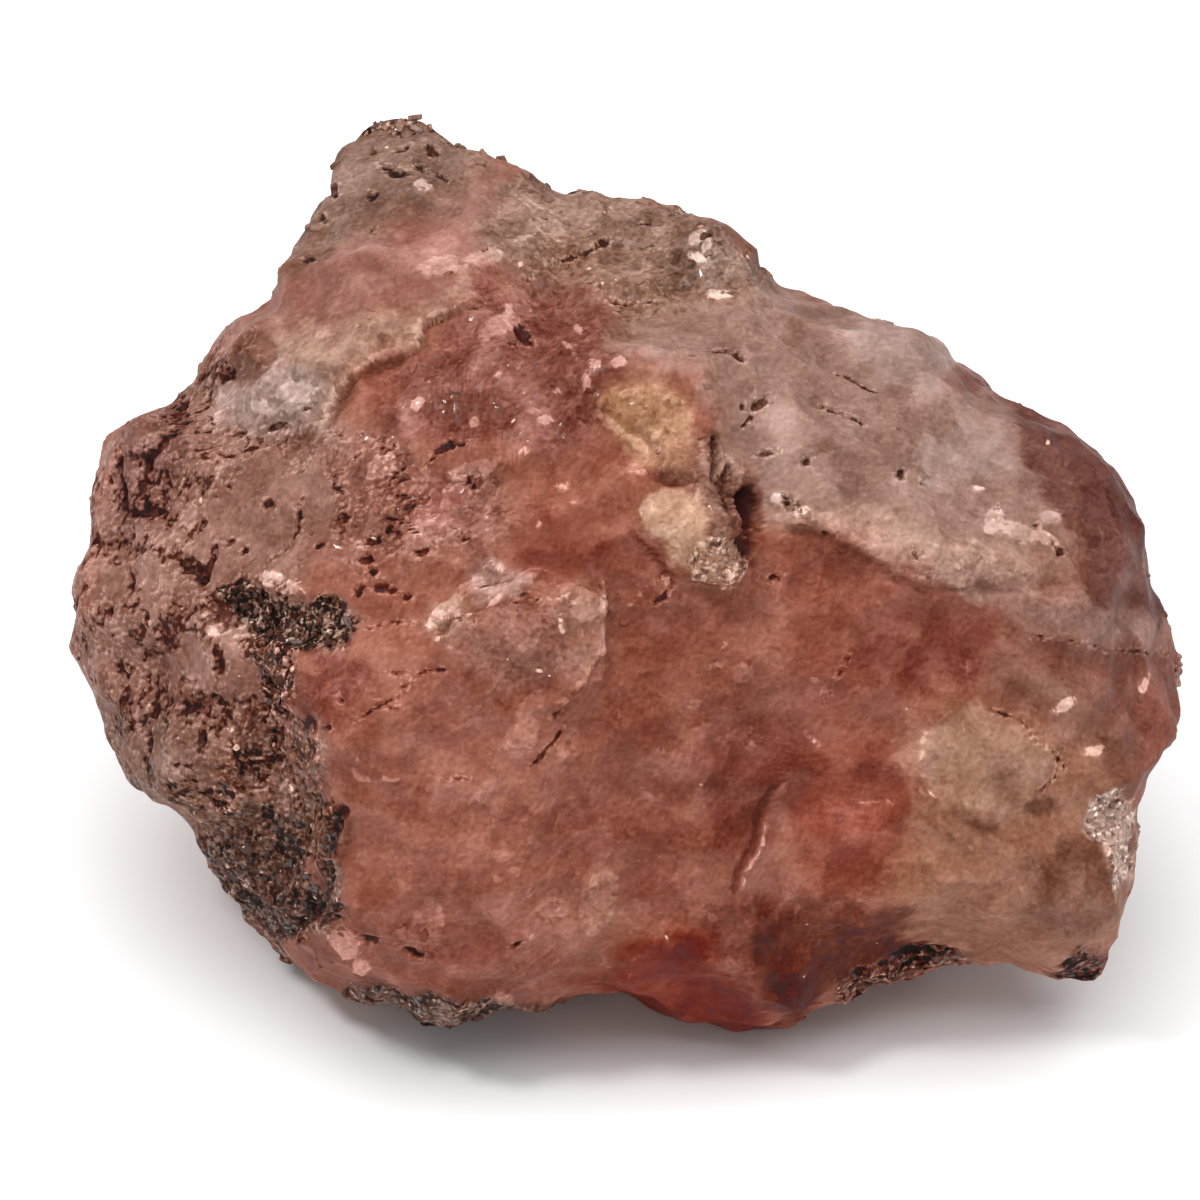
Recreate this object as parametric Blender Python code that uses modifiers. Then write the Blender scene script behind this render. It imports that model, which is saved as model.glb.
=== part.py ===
"""Morganite specimen: one rough, unworked lump of pink beryl in its own natural skin.

The lump is modelled on its display face, the side that a collector turns to the front.  That face leans
back, so the shape is worked out in a leaning frame: across (to the right), up (up the face) and out (out of
the face, towards the front).  The lump is then turned upright and cut flat where it stands on a table.

Lengths in this file are millimetres unless a name says otherwise.  The finished object is in metres, with
+Z up, +X to the right along the display face, and its origin under the middle of the lump.
"""

import math

import bpy
import numpy as np

MM = 0.001

# ---------------------------------------------------------------- driving dimensions
FACE_LEAN_DEG = 36.0  # how far the display face leans back from upright
REST_DROP = 13.9  # depth of the resting plane below the middle of the display face
MIDDLE_TO_ORIGIN = (1.25, 0.1)  # the box's middle from the display face's middle, along X and Y
FRONT_BULGE = 15.0  # how far the lump would swell in front of its outline, before its fracture faces
BACK_BULGE = 18.5  # the same behind
FULLNESS = 2.5  # 2 gives an ellipse in section, more gives a fuller, squarer one
OUTLINE_SHEAR = (0.075, -0.055)  # how the outline comes forward, per mm across and up
EDGE_SOFTNESS = 0.30  # rounding where two fracture faces meet
SKIN_GRAIN = 0.38  # spacing of the even net laid over the skin before it's thinned
KEPT_SHARE = 0.112  # share of that net's triangles that the finished solid keeps

# The display face's outline, (across, up), anticlockwise from its right-hand tip.
OUTLINE = [
    (23.8, -2.4), (23.1, -0.4), (22.3, 1.2), (21.7, 3.0), (20.8, 4.6), (19.4, 5.9), (17.7, 7.4),
    (15.5, 9.1), (13.7, 10.3), (12.0, 11.2), (10.2, 11.7), (8.4, 12.3), (7.3, 12.7), (6.5, 13.7),
    (5.3, 14.6), (3.9, 15.7), (2.4, 16.5), (0.4, 16.7), (-1.3, 17.1), (-2.6, 17.5), (-3.7, 18.3),
    (-4.9, 18.4), (-6.2, 19.1), (-7.4, 20.1), (-8.6, 20.2), (-10.0, 19.6), (-10.9, 18.4), (-11.1, 17.0),
    (-11.8, 16.2), (-12.4, 14.7), (-13.1, 13.6), (-13.5, 12.4), (-14.9, 11.3), (-16.6, 10.2),
    (-17.4, 8.8), (-18.3, 8.0), (-19.5, 7.5), (-20.4, 6.6), (-20.8, 5.1), (-21.0, 2.3), (-21.2, -0.6),
    (-21.1, -2.3), (-20.5, -4.1), (-19.9, -6.0), (-18.7, -7.7), (-17.1, -8.7), (-16.4, -9.5),
    (-16.0, -11.0), (-14.9, -12.6), (-13.5, -14.1), (-12.0, -15.0), (-9.9, -15.9), (-8.2, -16.6),
    (-7.4, -17.4), (-5.1, -17.1), (-3.1, -16.4), (-0.8, -16.0), (1.0, -16.0), (2.5, -16.7), (4.2, -17.1),
    (5.7, -17.6), (7.2, -17.5), (8.3, -17.2), (9.6, -16.7), (10.4, -16.0), (12.5, -15.4), (14.8, -15.0),
    (16.7, -14.8), (19.4, -15.4), (20.5, -14.9), (20.7, -13.3), (21.1, -11.4), (21.7, -9.7),
    (22.1, -7.7), (22.5, -6.2), (23.3, -4.8),
]

# Fracture faces: (across, up, height there, slope across, slope up).  A face cuts off what stands above it.
FRONT_FACES = {
    "lower front": (-1.7, -9.2, 10.8, -0.12, 0.50),
    "middle": (-2.1, 6.3, 12.9, 0.05, -0.32),
    "pale upper right": (8.3, 2.7, 13.3, -0.55, -0.56),
    "lower right": (8.3, 2.7, 13.3, -0.28, 0.30),
    "left": (-17.5, 0.0, 7.2, 0.85, 0.04),
    "lower left": (-14.6, -9.6, 7.3, 0.75, 0.55),
    "upper left": (-15.4, 6.3, 7.8, 0.55, -0.35),
    "top band": (-9.2, 13.8, 6.2, 0.22, -0.95),
    "top": (0.8, 15.0, 5.0, -0.05, -1.15),
    "under the right": (10.4, -14.6, 4.4, -0.30, 1.50),
    "right end": (22.5, 0.0, 4.2, -1.45, 0.05),
    "lower right end": (20.8, -12.5, 4.6, -1.30, 0.35),
}
BACK_FACES = {
    "back wall": (1.0, 3.0, 14.6, -0.10, -0.62),
    "back right": (14.0, 2.0, 9.6, -0.80, -0.30),
    "back left": (-13.0, 3.0, 9.4, 0.72, -0.25),
    "back top": (-4.0, 12.0, 7.4, 0.12, -1.20),
    "back top right": (8.0, 10.0, 7.0, -0.45, -0.95),
    "under right": (13.0, -9.0, 7.2, -0.72, 0.50),
    "under left": (-13.0, -8.0, 7.0, 0.62, 0.45),
}

# Lumps and hollows: (across, up, half width, half height, turn in degrees, rise, squareness).
# A rise below zero is a hollow.  A squareness of 1 is a soft mound, 2 a flat-topped boss with a clear edge.
FRONT_LUMPS = {
    "cream knob": (3.5, 3.2, 2.3, 2.0, -40, 1.25, 2.0),
    "cream knob foot": (4.9, 1.7, 1.6, 1.3, 20, 0.75, 1.6),
    "honey patch": (2.0, 7.8, 2.7, 2.0, -20, 0.60, 1.6),
    "glassy boss": (4.5, 14.2, 1.5, 1.3, 0, 0.85, 1.5),
    "summit knob": (-8.4, 18.4, 2.4, 1.9, -20, 0.70, 1.3),
    "grey boss": (-14.2, 10.3, 1.3, 1.2, 0, 0.55, 1.8),
    "lilac boss": (-12.4, 8.4, 2.8, 1.3, 15, 0.55, 1.6),
    "right shoulder": (19.3, 4.2, 3.4, 3.0, -50, 0.75, 1.2),
    "amber block": (16.0, -7.0, 3.4, 2.7, 15, 0.70, 2.2),
    "amber boss": (19.2, -11.7, 2.6, 2.2, 0, 1.05, 1.5),
    "middle flake": (-2.6, -2.2, 3.0, 2.9, 0, 0.55, 2.4),
    "rose cushion": (-1.6, 2.6, 3.4, 1.9, 20, 0.45, 1.3),
    "left cheek": (-19.0, -1.5, 2.2, 4.2, 5, 0.60, 1.3),
    "lower left cheek": (-17.3, -6.6, 2.6, 1.9, -35, 0.55, 1.3),
    "front swell": (-6.0, -11.0, 4.5, 3.2, 10, 0.50, 1.2),
    "foot": (6.4, -16.0, 2.6, 1.5, 10, 0.55, 1.3),
    "pocket by the knob": (6.2, 3.3, 1.1, 1.9, 0, -1.3, 1.1),
    "mica pocket": (-12.5, -0.9, 2.6, 1.1, -8, -0.85, 1.6),
    "mica gully": (-13.2, -3.9, 1.0, 1.9, 10, -0.55, 1.3),
    "mauve hollow": (6.7, -6.6, 2.9, 2.6, 40, -0.65, 1.5),
    "lower mauve hollow": (8.6, -13.2, 3.6, 1.6, -10, -0.60, 1.3),
    "left hollow": (-18.0, -3.6, 1.9, 2.1, 0, -0.60, 1.3),
    "dark flank": (-13.6, -10.6, 1.7, 2.9, 12, -0.75, 1.4),
    "saddle": (-15.6, 9.0, 1.6, 1.0, 40, -0.40, 1.2),
    "step below the summit": (-5.0, 12.2, 4.0, 0.9, 25, 0.40, 1.3),
    "red hollow": (13.5, -1.8, 3.2, 1.7, -5, -0.50, 1.6),
}
BACK_LUMPS = {
    "back boss": (5.5, 4.0, 3.6, 2.6, 30, 1.10, 1.6),
    "back shoulder": (-11.0, 7.5, 3.4, 2.2, -25, 0.90, 1.4),
    "back knob": (14.5, 6.0, 2.1, 1.8, 0, 0.95, 1.8),
    "back plate": (-5.0, -1.0, 4.4, 3.0, 15, 0.65, 2.2),
    "back heel": (9.0, -6.0, 3.4, 2.4, -20, 0.80, 1.4),
    "back pocket": (0.5, 8.0, 1.9, 1.2, -30, -1.10, 1.5),
    "back gully": (-1.0, 3.0, 0.9, 4.2, 25, -0.70, 1.3),
    "left pocket": (-16.0, 1.0, 1.5, 2.4, 10, -0.80, 1.4),
    "right pocket": (17.5, -1.5, 1.8, 1.2, 35, -0.80, 1.5),
}

# Ledges: a path of (across, up) points with the higher ground on its left as it is walked, the drop, and
# how far the ground stays low beyond it.
FRONT_LEDGES = {
    "front face over the dark flank": ([(-11.4, -13.8), (-11.2, -8.6), (-12.4, -4.0)], -1.25, 3.6),
    "rose band over the middle": ([(-15.6, 7.0), (-10.7, 8.9), (-5.3, 12.6), (-1.8, 14.2)], 0.55, 2.6),
    "chalky ridge": ([(0.1, 0.1), (-3.2, 0.9), (-6.6, -1.4), (-9.8, -1.7)], 0.45, 1.6),
    "flake rim": ([(-1.8, -4.8), (0.0, -2.6), (0.2, 0.3)], 0.50, 1.8),
    "pale crest over the red": ([(8.2, 2.6), (12.4, 1.0), (18.4, 0.9)], 0.85, 2.8),
    "right crest": ([(15.0, -1.5), (20.0, -2.1), (23.5, -2.1)], 0.45, 2.0),
    "amber block's side": ([(13.3, -4.6), (13.2, -9.8)], 0.55, 2.2),
    "splinter": ([(6.0, -12.2), (8.4, -5.6)], 0.40, 1.2),
    "upper honey step": ([(-3.4, 13.0), (1.0, 12.2), (5.0, 12.0)], 0.50, 1.8),
}
BACK_LEDGES = {
    "back stair": ([(-9.0, -4.0), (-1.0, 0.5), (3.0, 7.0)], 0.80, 3.0),
    "right stair": ([(10.5, 8.0), (12.0, 1.0), (10.0, -6.0)], 0.70, 2.6),
    "left stair": ([(-12.0, 9.0), (-9.5, 4.0)], 0.55, 2.2),
}

# Broken flats all over: (cell size, tilt, seed); how deeply each is dished, how hard the arrises between
# them are, and a lift that keeps their average level.  Then low swells: (size, height, seed).
FACETS = [(6.0, 0.15, 11), (2.7, 0.14, 23)]
DISH = 0.36
ARRIS = 60.0
MEAN_DISH = -0.075
SWELLS = [(7.0, 0.35, 5)]
FRONT_SHARE = 0.55  # how much of that roughness the display face keeps, against the back's 1
RIM_SHARE = 0.30  # and the outline


# ---------------------------------------------------------------- random fields
def lattice_random(cells, seed):
    """Three numbers from -1 to 1 for each whole-numbered cell, the same ones on every run."""
    mix = (cells[..., 0] * 73856093) ^ (cells[..., 1] * 19349663) ^ (cells[..., 2] * 83492791) ^ (seed * 2654435761)
    found = []
    for turn in range(3):
        mix = (mix ^ (mix >> 15)) * 2246822519 & 0xFFFFFFFF
        mix = (mix ^ (mix >> 13)) * 3266489917 & 0xFFFFFFFF
        found.append((mix & 0xFFFFF) / 0x7FFFF - 1.0)
    return np.stack(found, axis=-1)


def corner_offsets(reach):
    """Every whole-numbered step within the reach: 0 to 1 for (0, 1), or -1 to 1 for (-1, 0, 1)."""
    return np.array([(i, j, k) for i in reach for j in reach for k in reach])


def smooth_noise(points, size, seed):
    """Gradient noise from about -1 to 1: random slopes at lattice corners, blended by a quintic ease."""
    scaled = points / size
    base = np.floor(scaled).astype(np.int64)
    inside = scaled - base
    ease = inside**3 * (inside * (inside * 6 - 15) + 10)
    total = np.zeros(len(points))
    for offset in corner_offsets((0, 1)):
        slopes = lattice_random(base + offset, seed)
        share = np.prod(np.where(offset, ease, 1 - ease), axis=1)
        total += share * ((inside - offset) * slopes).sum(axis=1)
    return 1.6 * total


def facet_relief(points, size, tilt, seed):
    """Height of a field of broken flats with sharp arrises between them.

    Each lattice cell holds one shallow dish, tilted and set at a level of its own, and the lowest dish wins:
    height = size * min(level + slope . away + DISH * away^2), with away measured in cells.
    """
    scaled = points / size
    base = np.floor(scaled).astype(np.int64)
    dishes = []
    for offset in corner_offsets((-1, 0, 1)):
        cell = base + offset
        away = scaled - (cell + 0.5 + 0.42 * lattice_random(cell, seed))
        slopes = lattice_random(cell, seed + 101)
        level = lattice_random(cell, seed + 202)[:, 0]
        dishes.append(tilt * ((away * slopes).sum(axis=1) + 0.4 * level) + DISH * (away**2).sum(axis=1))
    stack = np.stack(dishes) * -ARRIS
    most = stack.max(axis=0)
    return size * (MEAN_DISH - (most + np.log(np.exp(stack - most).sum(axis=0))) / ARRIS)


# ---------------------------------------------------------------- the lump's form
def outline_radius(angle):
    """Distance from the face's middle to its outline in each direction, by a smooth cubic through OUTLINE."""
    corners = np.array(OUTLINE)
    turn = np.unwrap(np.arctan2(corners[:, 1], corners[:, 0]))
    reach = np.hypot(corners[:, 0], corners[:, 1])
    turn = np.concatenate([turn[-2:] - 2 * np.pi, turn, turn[:3] + 2 * np.pi])
    reach = np.concatenate([reach[-2:], reach, reach[:3]])
    slope = np.gradient(reach, turn)
    first = turn[2]
    at = (angle - first) % (2 * np.pi) + first
    i = np.clip(np.searchsorted(turn, at, side="right") - 1, 0, len(turn) - 2)
    span = turn[i + 1] - turn[i]
    t = (at - turn[i]) / span
    return (
        reach[i] * (2 * t**3 - 3 * t**2 + 1)
        + slope[i] * span * (t**3 - 2 * t**2 + t)
        + reach[i + 1] * (3 * t**2 - 2 * t**3)
        + slope[i + 1] * span * (t**3 - t**2)
    )


def lowest_of(heights):
    """The lowest of several heights, with the edge between two of them rounded by EDGE_SOFTNESS."""
    stack = np.stack(heights) / -EDGE_SOFTNESS
    most = stack.max(axis=0)
    return -EDGE_SOFTNESS * (most + np.log(np.exp(stack - most).sum(axis=0)))


def lump_heights(across, up, lumps):
    """Sum of the mounds: rise times exp(-(distance in half widths) to the power of twice the squareness)."""
    total = np.zeros(len(across))
    for at_across, at_up, half_width, half_height, turn, rise, squareness in lumps.values():
        c, s = math.cos(math.radians(turn)), math.sin(math.radians(turn))
        x, y = across - at_across, up - at_up
        far = ((x * c + y * s) / half_width) ** 2 + ((y * c - x * s) / half_height) ** 2
        total += rise * np.exp(-(far**squareness))
    return total


def path_distance(across, up, path):
    """(distance to a path of points, +1 on its left or -1 on its right, how far along it from 0 to 1)."""
    corners = np.array(path, float)
    lengths = np.hypot(*np.diff(corners, axis=0).T)
    nearest = np.full(len(across), np.inf)
    side = np.ones(len(across))
    along = np.zeros(len(across))
    walked = 0.0
    for start, end, length in zip(corners[:-1], corners[1:], lengths):
        way = (end - start) / length
        x, y = across - start[0], up - start[1]
        t = x * way[0] + y * way[1]
        held = np.clip(t, 0, length)
        far = np.hypot(x - held * way[0], y - held * way[1])
        closer = far < nearest
        nearest = np.where(closer, far, nearest)
        side = np.where(closer, np.sign(way[0] * y - way[1] * x + 1e-9), side)
        along = np.where(closer, (walked + t) / lengths.sum(), along)
        walked += length
    return nearest, side, along


def ledge_heights(across, up, ledges):
    """Sum of the steps: the ground drops at once beyond the path and comes back over the reach."""
    total = np.zeros(len(across))
    for path, drop, reach in ledges.values():
        far, side, along = path_distance(across, up, path)
        signed = far * side * np.sign(drop)
        fade = np.clip(np.minimum(along, 1 - along) * 5 + 0.6, 0, 1)
        edge = 1 / (1 + np.exp(np.clip(signed / 0.22, -40, 40)))
        total -= abs(drop) * edge * np.exp(-((far / reach) ** 2)) * fade
    return total


def lump_surface(directions):
    """Points of the lump's skin in the leaning frame, one for each unit direction from its middle.

    A direction's angle round the outward axis picks the outline's radius, and its angle from that axis a
    place on a squared ellipse between the outline and the bulge.  The fracture faces then cut the bulge
    down, and lumps, ledges, facets and swells are added along the outward normal of a matching ellipsoid.
    """
    flat = np.hypot(directions[:, 0], directions[:, 1])
    out = directions[:, 2]
    size = (flat**FULLNESS + np.abs(out) ** FULLNESS) ** (1 / FULLNESS)
    radius = outline_radius(np.arctan2(directions[:, 1], directions[:, 0])) * flat / size
    way = directions[:, :2] / np.maximum(flat, 1e-9)[:, None]
    across, up = radius * way[:, 0], radius * way[:, 1]
    front = out >= 0

    def cut(bulge, faces):
        heights = [bulge * np.abs(out) / size]
        for at_across, at_up, height, slope_across, slope_up in faces.values():
            heights.append(height + slope_across * (across - at_across) + slope_up * (up - at_up))
        return np.maximum(lowest_of(heights), 0)

    depth = np.where(front, cut(FRONT_BULGE, FRONT_FACES), -cut(BACK_BULGE, BACK_FACES))
    points = np.stack([across, up, depth], axis=1)
    normals = points / np.array([22.0, 17.5, 14.0]) ** 2
    normals /= np.linalg.norm(normals, axis=1)[:, None]

    facing = np.clip(np.abs(normals[:, 2]) * 2.2, 0, 1)
    relief = np.where(
        front,
        lump_heights(across, up, FRONT_LUMPS) + ledge_heights(across, up, FRONT_LEDGES),
        lump_heights(across, up, BACK_LUMPS) + ledge_heights(across, up, BACK_LEDGES),
    ) * facing
    roughness = RIM_SHARE + (np.where(front, FRONT_SHARE, 1) - RIM_SHARE) * facing
    for cell, tilt, seed in FACETS:
        relief += roughness * facet_relief(points, cell, tilt, seed)
    for cell, height, seed in SWELLS:
        relief += roughness * height * smooth_noise(points, cell, seed)
    points += normals * relief[:, None]
    points[:, 2] += OUTLINE_SHEAR[0] * across + OUTLINE_SHEAR[1] * up
    return points


def stood_up(points):
    """Turns the leaning frame upright and puts the origin on the resting plane under the lump's middle."""
    lean = math.radians(FACE_LEAN_DEG)
    across, up, out = points.T
    x = across - MIDDLE_TO_ORIGIN[0]
    y = up * math.sin(lean) - out * math.cos(lean) - MIDDLE_TO_ORIGIN[1]
    z = up * math.cos(lean) + out * math.sin(lean) + REST_DROP
    return np.stack([x, y, z], axis=1)


# ---------------------------------------------------------------- Blender objects
def clear_scene():
    for obj in list(bpy.data.objects):
        bpy.data.objects.remove(obj, do_unlink=True)


def new_collection(name, hidden=False):
    collection = bpy.data.collections.new(name)
    bpy.context.scene.collection.children.link(collection)
    collection.hide_render = hidden
    return collection


def stone_material():
    material = bpy.data.materials.new("rough_morganite")
    material.use_nodes = True
    shader = material.node_tree.nodes["Principled BSDF"]
    shader.inputs["Base Color"].default_value = (0.40, 0.15, 0.11, 1.0)
    shader.inputs["Roughness"].default_value = 0.42
    shader.inputs["Metallic"].default_value = 0.0
    return material


def move_to(obj, collection):
    for holder in list(obj.users_collection):
        holder.objects.unlink(obj)
    collection.objects.link(obj)


def make_stone(collection):
    """The lump: an icosphere whose points are sent out to the skin, laid over with an even net and thinned."""
    bpy.ops.mesh.primitive_ico_sphere_add(subdivisions=7, radius=1.0)
    stone = bpy.context.active_object
    stone.name = stone.data.name = "morganite_stone"
    move_to(stone, collection)
    mesh = stone.data
    directions = np.empty(len(mesh.vertices) * 3, np.float32)
    mesh.vertices.foreach_get("co", directions)
    directions = directions.reshape(-1, 3).astype(float)
    directions /= np.linalg.norm(directions, axis=1)[:, None]
    skin = stood_up(lump_surface(directions)) * MM
    mesh.vertices.foreach_set("co", skin.astype(np.float32).ravel())
    mesh.materials.append(stone_material())
    mesh.update()
    even = stone.modifiers.new("even_net", "REMESH")
    even.mode = "VOXEL"
    even.voxel_size = SKIN_GRAIN * MM
    thin = stone.modifiers.new("thin", "DECIMATE")
    thin.ratio = KEPT_SHARE
    return stone


def make_table_cutter(collection):
    """A block whose top is the resting plane: it takes the lump's foot off flat."""
    side, depth = 80 * MM, 30 * MM
    bpy.ops.mesh.primitive_cube_add(size=1.0, location=(0, 0, -depth / 2))
    cutter = bpy.context.active_object
    cutter.name = "table_cutter"
    cutter.scale = (side, side, depth)
    cutter.hide_render = True
    cutter.display_type = "WIRE"
    move_to(cutter, collection)
    return cutter


def main():
    clear_scene()
    stone = make_stone(new_collection("morganite_specimen"))
    cutter = make_table_cutter(new_collection("cutters", hidden=True))
    foot = stone.modifiers.new("flat_foot", "BOOLEAN")
    foot.operation = "DIFFERENCE"
    foot.solver = "EXACT"
    foot.object = cutter


main()
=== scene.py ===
"""Morganite specimen: the looks of one rough lump of pink beryl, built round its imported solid.

The lump is worked out on its display face, the side that a collector turns to the front.  That face leans
back, so shapes and marks are placed in a leaning frame, in millimetres: across (to the right), up (up the
face) and out (out of the face, towards the front).  Marks are placed by where they are seen from
VIEWING_DISTANCE straight out from the middle of the face.

The finished object is in metres, +Z up, on the same origin as its solid.
"""

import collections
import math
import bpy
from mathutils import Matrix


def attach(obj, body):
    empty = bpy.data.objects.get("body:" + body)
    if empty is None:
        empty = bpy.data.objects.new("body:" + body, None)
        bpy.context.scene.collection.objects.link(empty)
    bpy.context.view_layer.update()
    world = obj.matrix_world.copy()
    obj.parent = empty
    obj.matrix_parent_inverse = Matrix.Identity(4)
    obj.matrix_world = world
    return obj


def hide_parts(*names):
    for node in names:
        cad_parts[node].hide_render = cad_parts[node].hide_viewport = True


bl_info = {
    "name": "Morganite Specimen",
    "version": (1, 0, 0),
    "blender": (4, 5, 0),
    "location": "View3D > Sidebar > Morganite",
    "description": "Dresses a lump of rough morganite: waxy broken skin, mica plates and pale grains",
    "category": "Object",
}

import bpy
import numpy as np
from mathutils import Vector

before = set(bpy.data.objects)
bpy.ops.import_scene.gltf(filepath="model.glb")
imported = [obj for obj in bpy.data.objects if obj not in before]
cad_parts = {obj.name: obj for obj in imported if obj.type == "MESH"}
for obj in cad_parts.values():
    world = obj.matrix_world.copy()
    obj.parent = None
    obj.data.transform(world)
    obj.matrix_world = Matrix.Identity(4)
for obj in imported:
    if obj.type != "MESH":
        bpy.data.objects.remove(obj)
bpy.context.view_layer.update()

MM = 0.001
NODE = "morganite_stone"
BODY = "root"

# ---- the lump's driving dimensions, as in its solid
FACE_LEAN_DEG = 36.0  # how far the display face leans back from upright
REST_DROP = 13.9  # depth of the resting plane below the middle of the display face
MIDDLE_TO_ORIGIN = (1.25, 0.1)  # the box's middle from the display face's middle, along X and Y
FRONT_BULGE = 15.0  # how far the lump would swell in front of its outline, before its fracture faces
BACK_BULGE = 18.5  # the same behind
FULLNESS = 2.5  # 2 gives an ellipse in section, more gives a fuller, squarer one
OUTLINE_SHEAR = (0.075, -0.055)  # how the outline comes forward, per mm across and up
EDGE_SOFTNESS = 0.30  # rounding where two fracture faces meet

# The display face's outline, (across, up), anticlockwise from its right-hand tip.
OUTLINE = [
    (23.8, -2.4), (23.1, -0.4), (22.3, 1.2), (21.7, 3), (20.8, 4.6), (19.4, 5.9), (17.7, 7.4),
    (15.5, 9.1), (13.7, 10.3), (12, 11.2), (10.2, 11.7), (8.4, 12.3), (7.3, 12.7), (6.5, 13.7),
    (5.3, 14.6), (3.9, 15.7), (2.4, 16.5), (0.4, 16.7), (-1.3, 17.1), (-2.6, 17.5), (-3.7, 18.3),
    (-4.9, 18.4), (-6.2, 19.1), (-7.4, 20.1), (-8.6, 20.2), (-10, 19.6), (-10.9, 18.4), (-11.1, 17),
    (-11.8, 16.2), (-12.4, 14.7), (-13.1, 13.6), (-13.5, 12.4), (-14.9, 11.3), (-16.6, 10.2),
    (-17.4, 8.8), (-18.3, 8), (-19.5, 7.5), (-20.4, 6.6), (-20.8, 5.1), (-21, 2.3), (-21.2, -0.6),
    (-21.1, -2.3), (-20.5, -4.1), (-19.9, -6), (-18.7, -7.7), (-17.1, -8.7), (-16.4, -9.5),
    (-16, -11), (-14.9, -12.6), (-13.5, -14.1), (-12, -15), (-9.9, -15.9), (-8.2, -16.6),
    (-7.4, -17.4), (-5.1, -17.1), (-3.1, -16.4), (-0.8, -16), (1, -16), (2.5, -16.7), (4.2, -17.1),
    (5.7, -17.6), (7.2, -17.5), (8.3, -17.2), (9.6, -16.7), (10.4, -16), (12.5, -15.4), (14.8, -15),
    (16.7, -14.8), (19.4, -15.4), (20.5, -14.9), (20.7, -13.3), (21.1, -11.4), (21.7, -9.7),
    (22.1, -7.7), (22.5, -6.2), (23.3, -4.8),
]

# Fracture faces: (across, up, height there, slope across, slope up).  A face cuts off what stands above it.
FRONT_FACES = {
    "lower front": (-1.7, -9.2, 10.8, -0.12, 0.5),
    "middle": (-2.1, 6.3, 12.9, 0.05, -0.32),
    "pale upper right": (8.3, 2.7, 13.3, -0.55, -0.56),
    "lower right": (8.3, 2.7, 13.3, -0.28, 0.3),
    "left": (-17.5, 0, 7.2, 0.85, 0.04),
    "lower left": (-14.6, -9.6, 7.3, 0.75, 0.55),
    "upper left": (-15.4, 6.3, 7.8, 0.55, -0.35),
    "top band": (-9.2, 13.8, 6.2, 0.22, -0.95),
    "top": (0.8, 15, 5, -0.05, -1.15),
    "under the right": (10.4, -14.6, 4.4, -0.3, 1.5),
    "right end": (22.5, 0, 4.2, -1.45, 0.05),
    "lower right end": (20.8, -12.5, 4.6, -1.3, 0.35),
}
BACK_FACES = {
    "back wall": (1, 3, 14.6, -0.1, -0.62),
    "back right": (14, 2, 9.6, -0.8, -0.3),
    "back left": (-13, 3, 9.4, 0.72, -0.25),
    "back top": (-4, 12, 7.4, 0.12, -1.2),
    "back top right": (8, 10, 7, -0.45, -0.95),
    "under right": (13, -9, 7.2, -0.72, 0.5),
    "under left": (-13, -8, 7, 0.62, 0.45),
}

# Lumps and hollows: (across, up, half width, half height, turn in degrees, rise, squareness).
# A rise below zero is a hollow.  A squareness of 1 is a soft mound, 2 a flat-topped boss with a clear edge.
FRONT_LUMPS = {
    "cream knob": (3.5, 3.2, 2.3, 2, -40, 1.25, 2),
    "cream knob foot": (4.9, 1.7, 1.6, 1.3, 20, 0.75, 1.6),
    "honey patch": (2, 7.8, 2.7, 2, -20, 0.6, 1.6),
    "glassy boss": (4.5, 14.2, 1.5, 1.3, 0, 0.85, 1.5),
    "summit knob": (-8.4, 18.4, 2.4, 1.9, -20, 0.7, 1.3),
    "grey boss": (-14.2, 10.3, 1.3, 1.2, 0, 0.55, 1.8),
    "lilac boss": (-12.4, 8.4, 2.8, 1.3, 15, 0.55, 1.6),
    "right shoulder": (19.3, 4.2, 3.4, 3, -50, 0.75, 1.2),
    "amber block": (16, -7, 3.4, 2.7, 15, 0.7, 2.2),
    "amber boss": (19.2, -11.7, 2.6, 2.2, 0, 1.05, 1.5),
    "middle flake": (-2.6, -2.2, 3, 2.9, 0, 0.55, 2.4),
    "rose cushion": (-1.6, 2.6, 3.4, 1.9, 20, 0.45, 1.3),
    "left cheek": (-19, -1.5, 2.2, 4.2, 5, 0.6, 1.3),
    "lower left cheek": (-17.3, -6.6, 2.6, 1.9, -35, 0.55, 1.3),
    "front swell": (-6, -11, 4.5, 3.2, 10, 0.5, 1.2),
    "foot": (6.4, -16, 2.6, 1.5, 10, 0.55, 1.3),
    "pocket by the knob": (6.2, 3.3, 1.1, 1.9, 0, -1.3, 1.1),
    "mica pocket": (-12.5, -0.9, 2.6, 1.1, -8, -0.85, 1.6),
    "mica gully": (-13.2, -3.9, 1, 1.9, 10, -0.55, 1.3),
    "mauve hollow": (6.7, -6.6, 2.9, 2.6, 40, -0.65, 1.5),
    "lower mauve hollow": (8.6, -13.2, 3.6, 1.6, -10, -0.6, 1.3),
    "left hollow": (-18, -3.6, 1.9, 2.1, 0, -0.6, 1.3),
    "dark flank": (-13.6, -10.6, 1.7, 2.9, 12, -0.75, 1.4),
    "saddle": (-15.6, 9, 1.6, 1, 40, -0.4, 1.2),
    "step below the summit": (-5, 12.2, 4, 0.9, 25, 0.4, 1.3),
    "red hollow": (13.5, -1.8, 3.2, 1.7, -5, -0.5, 1.6),
}
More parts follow.
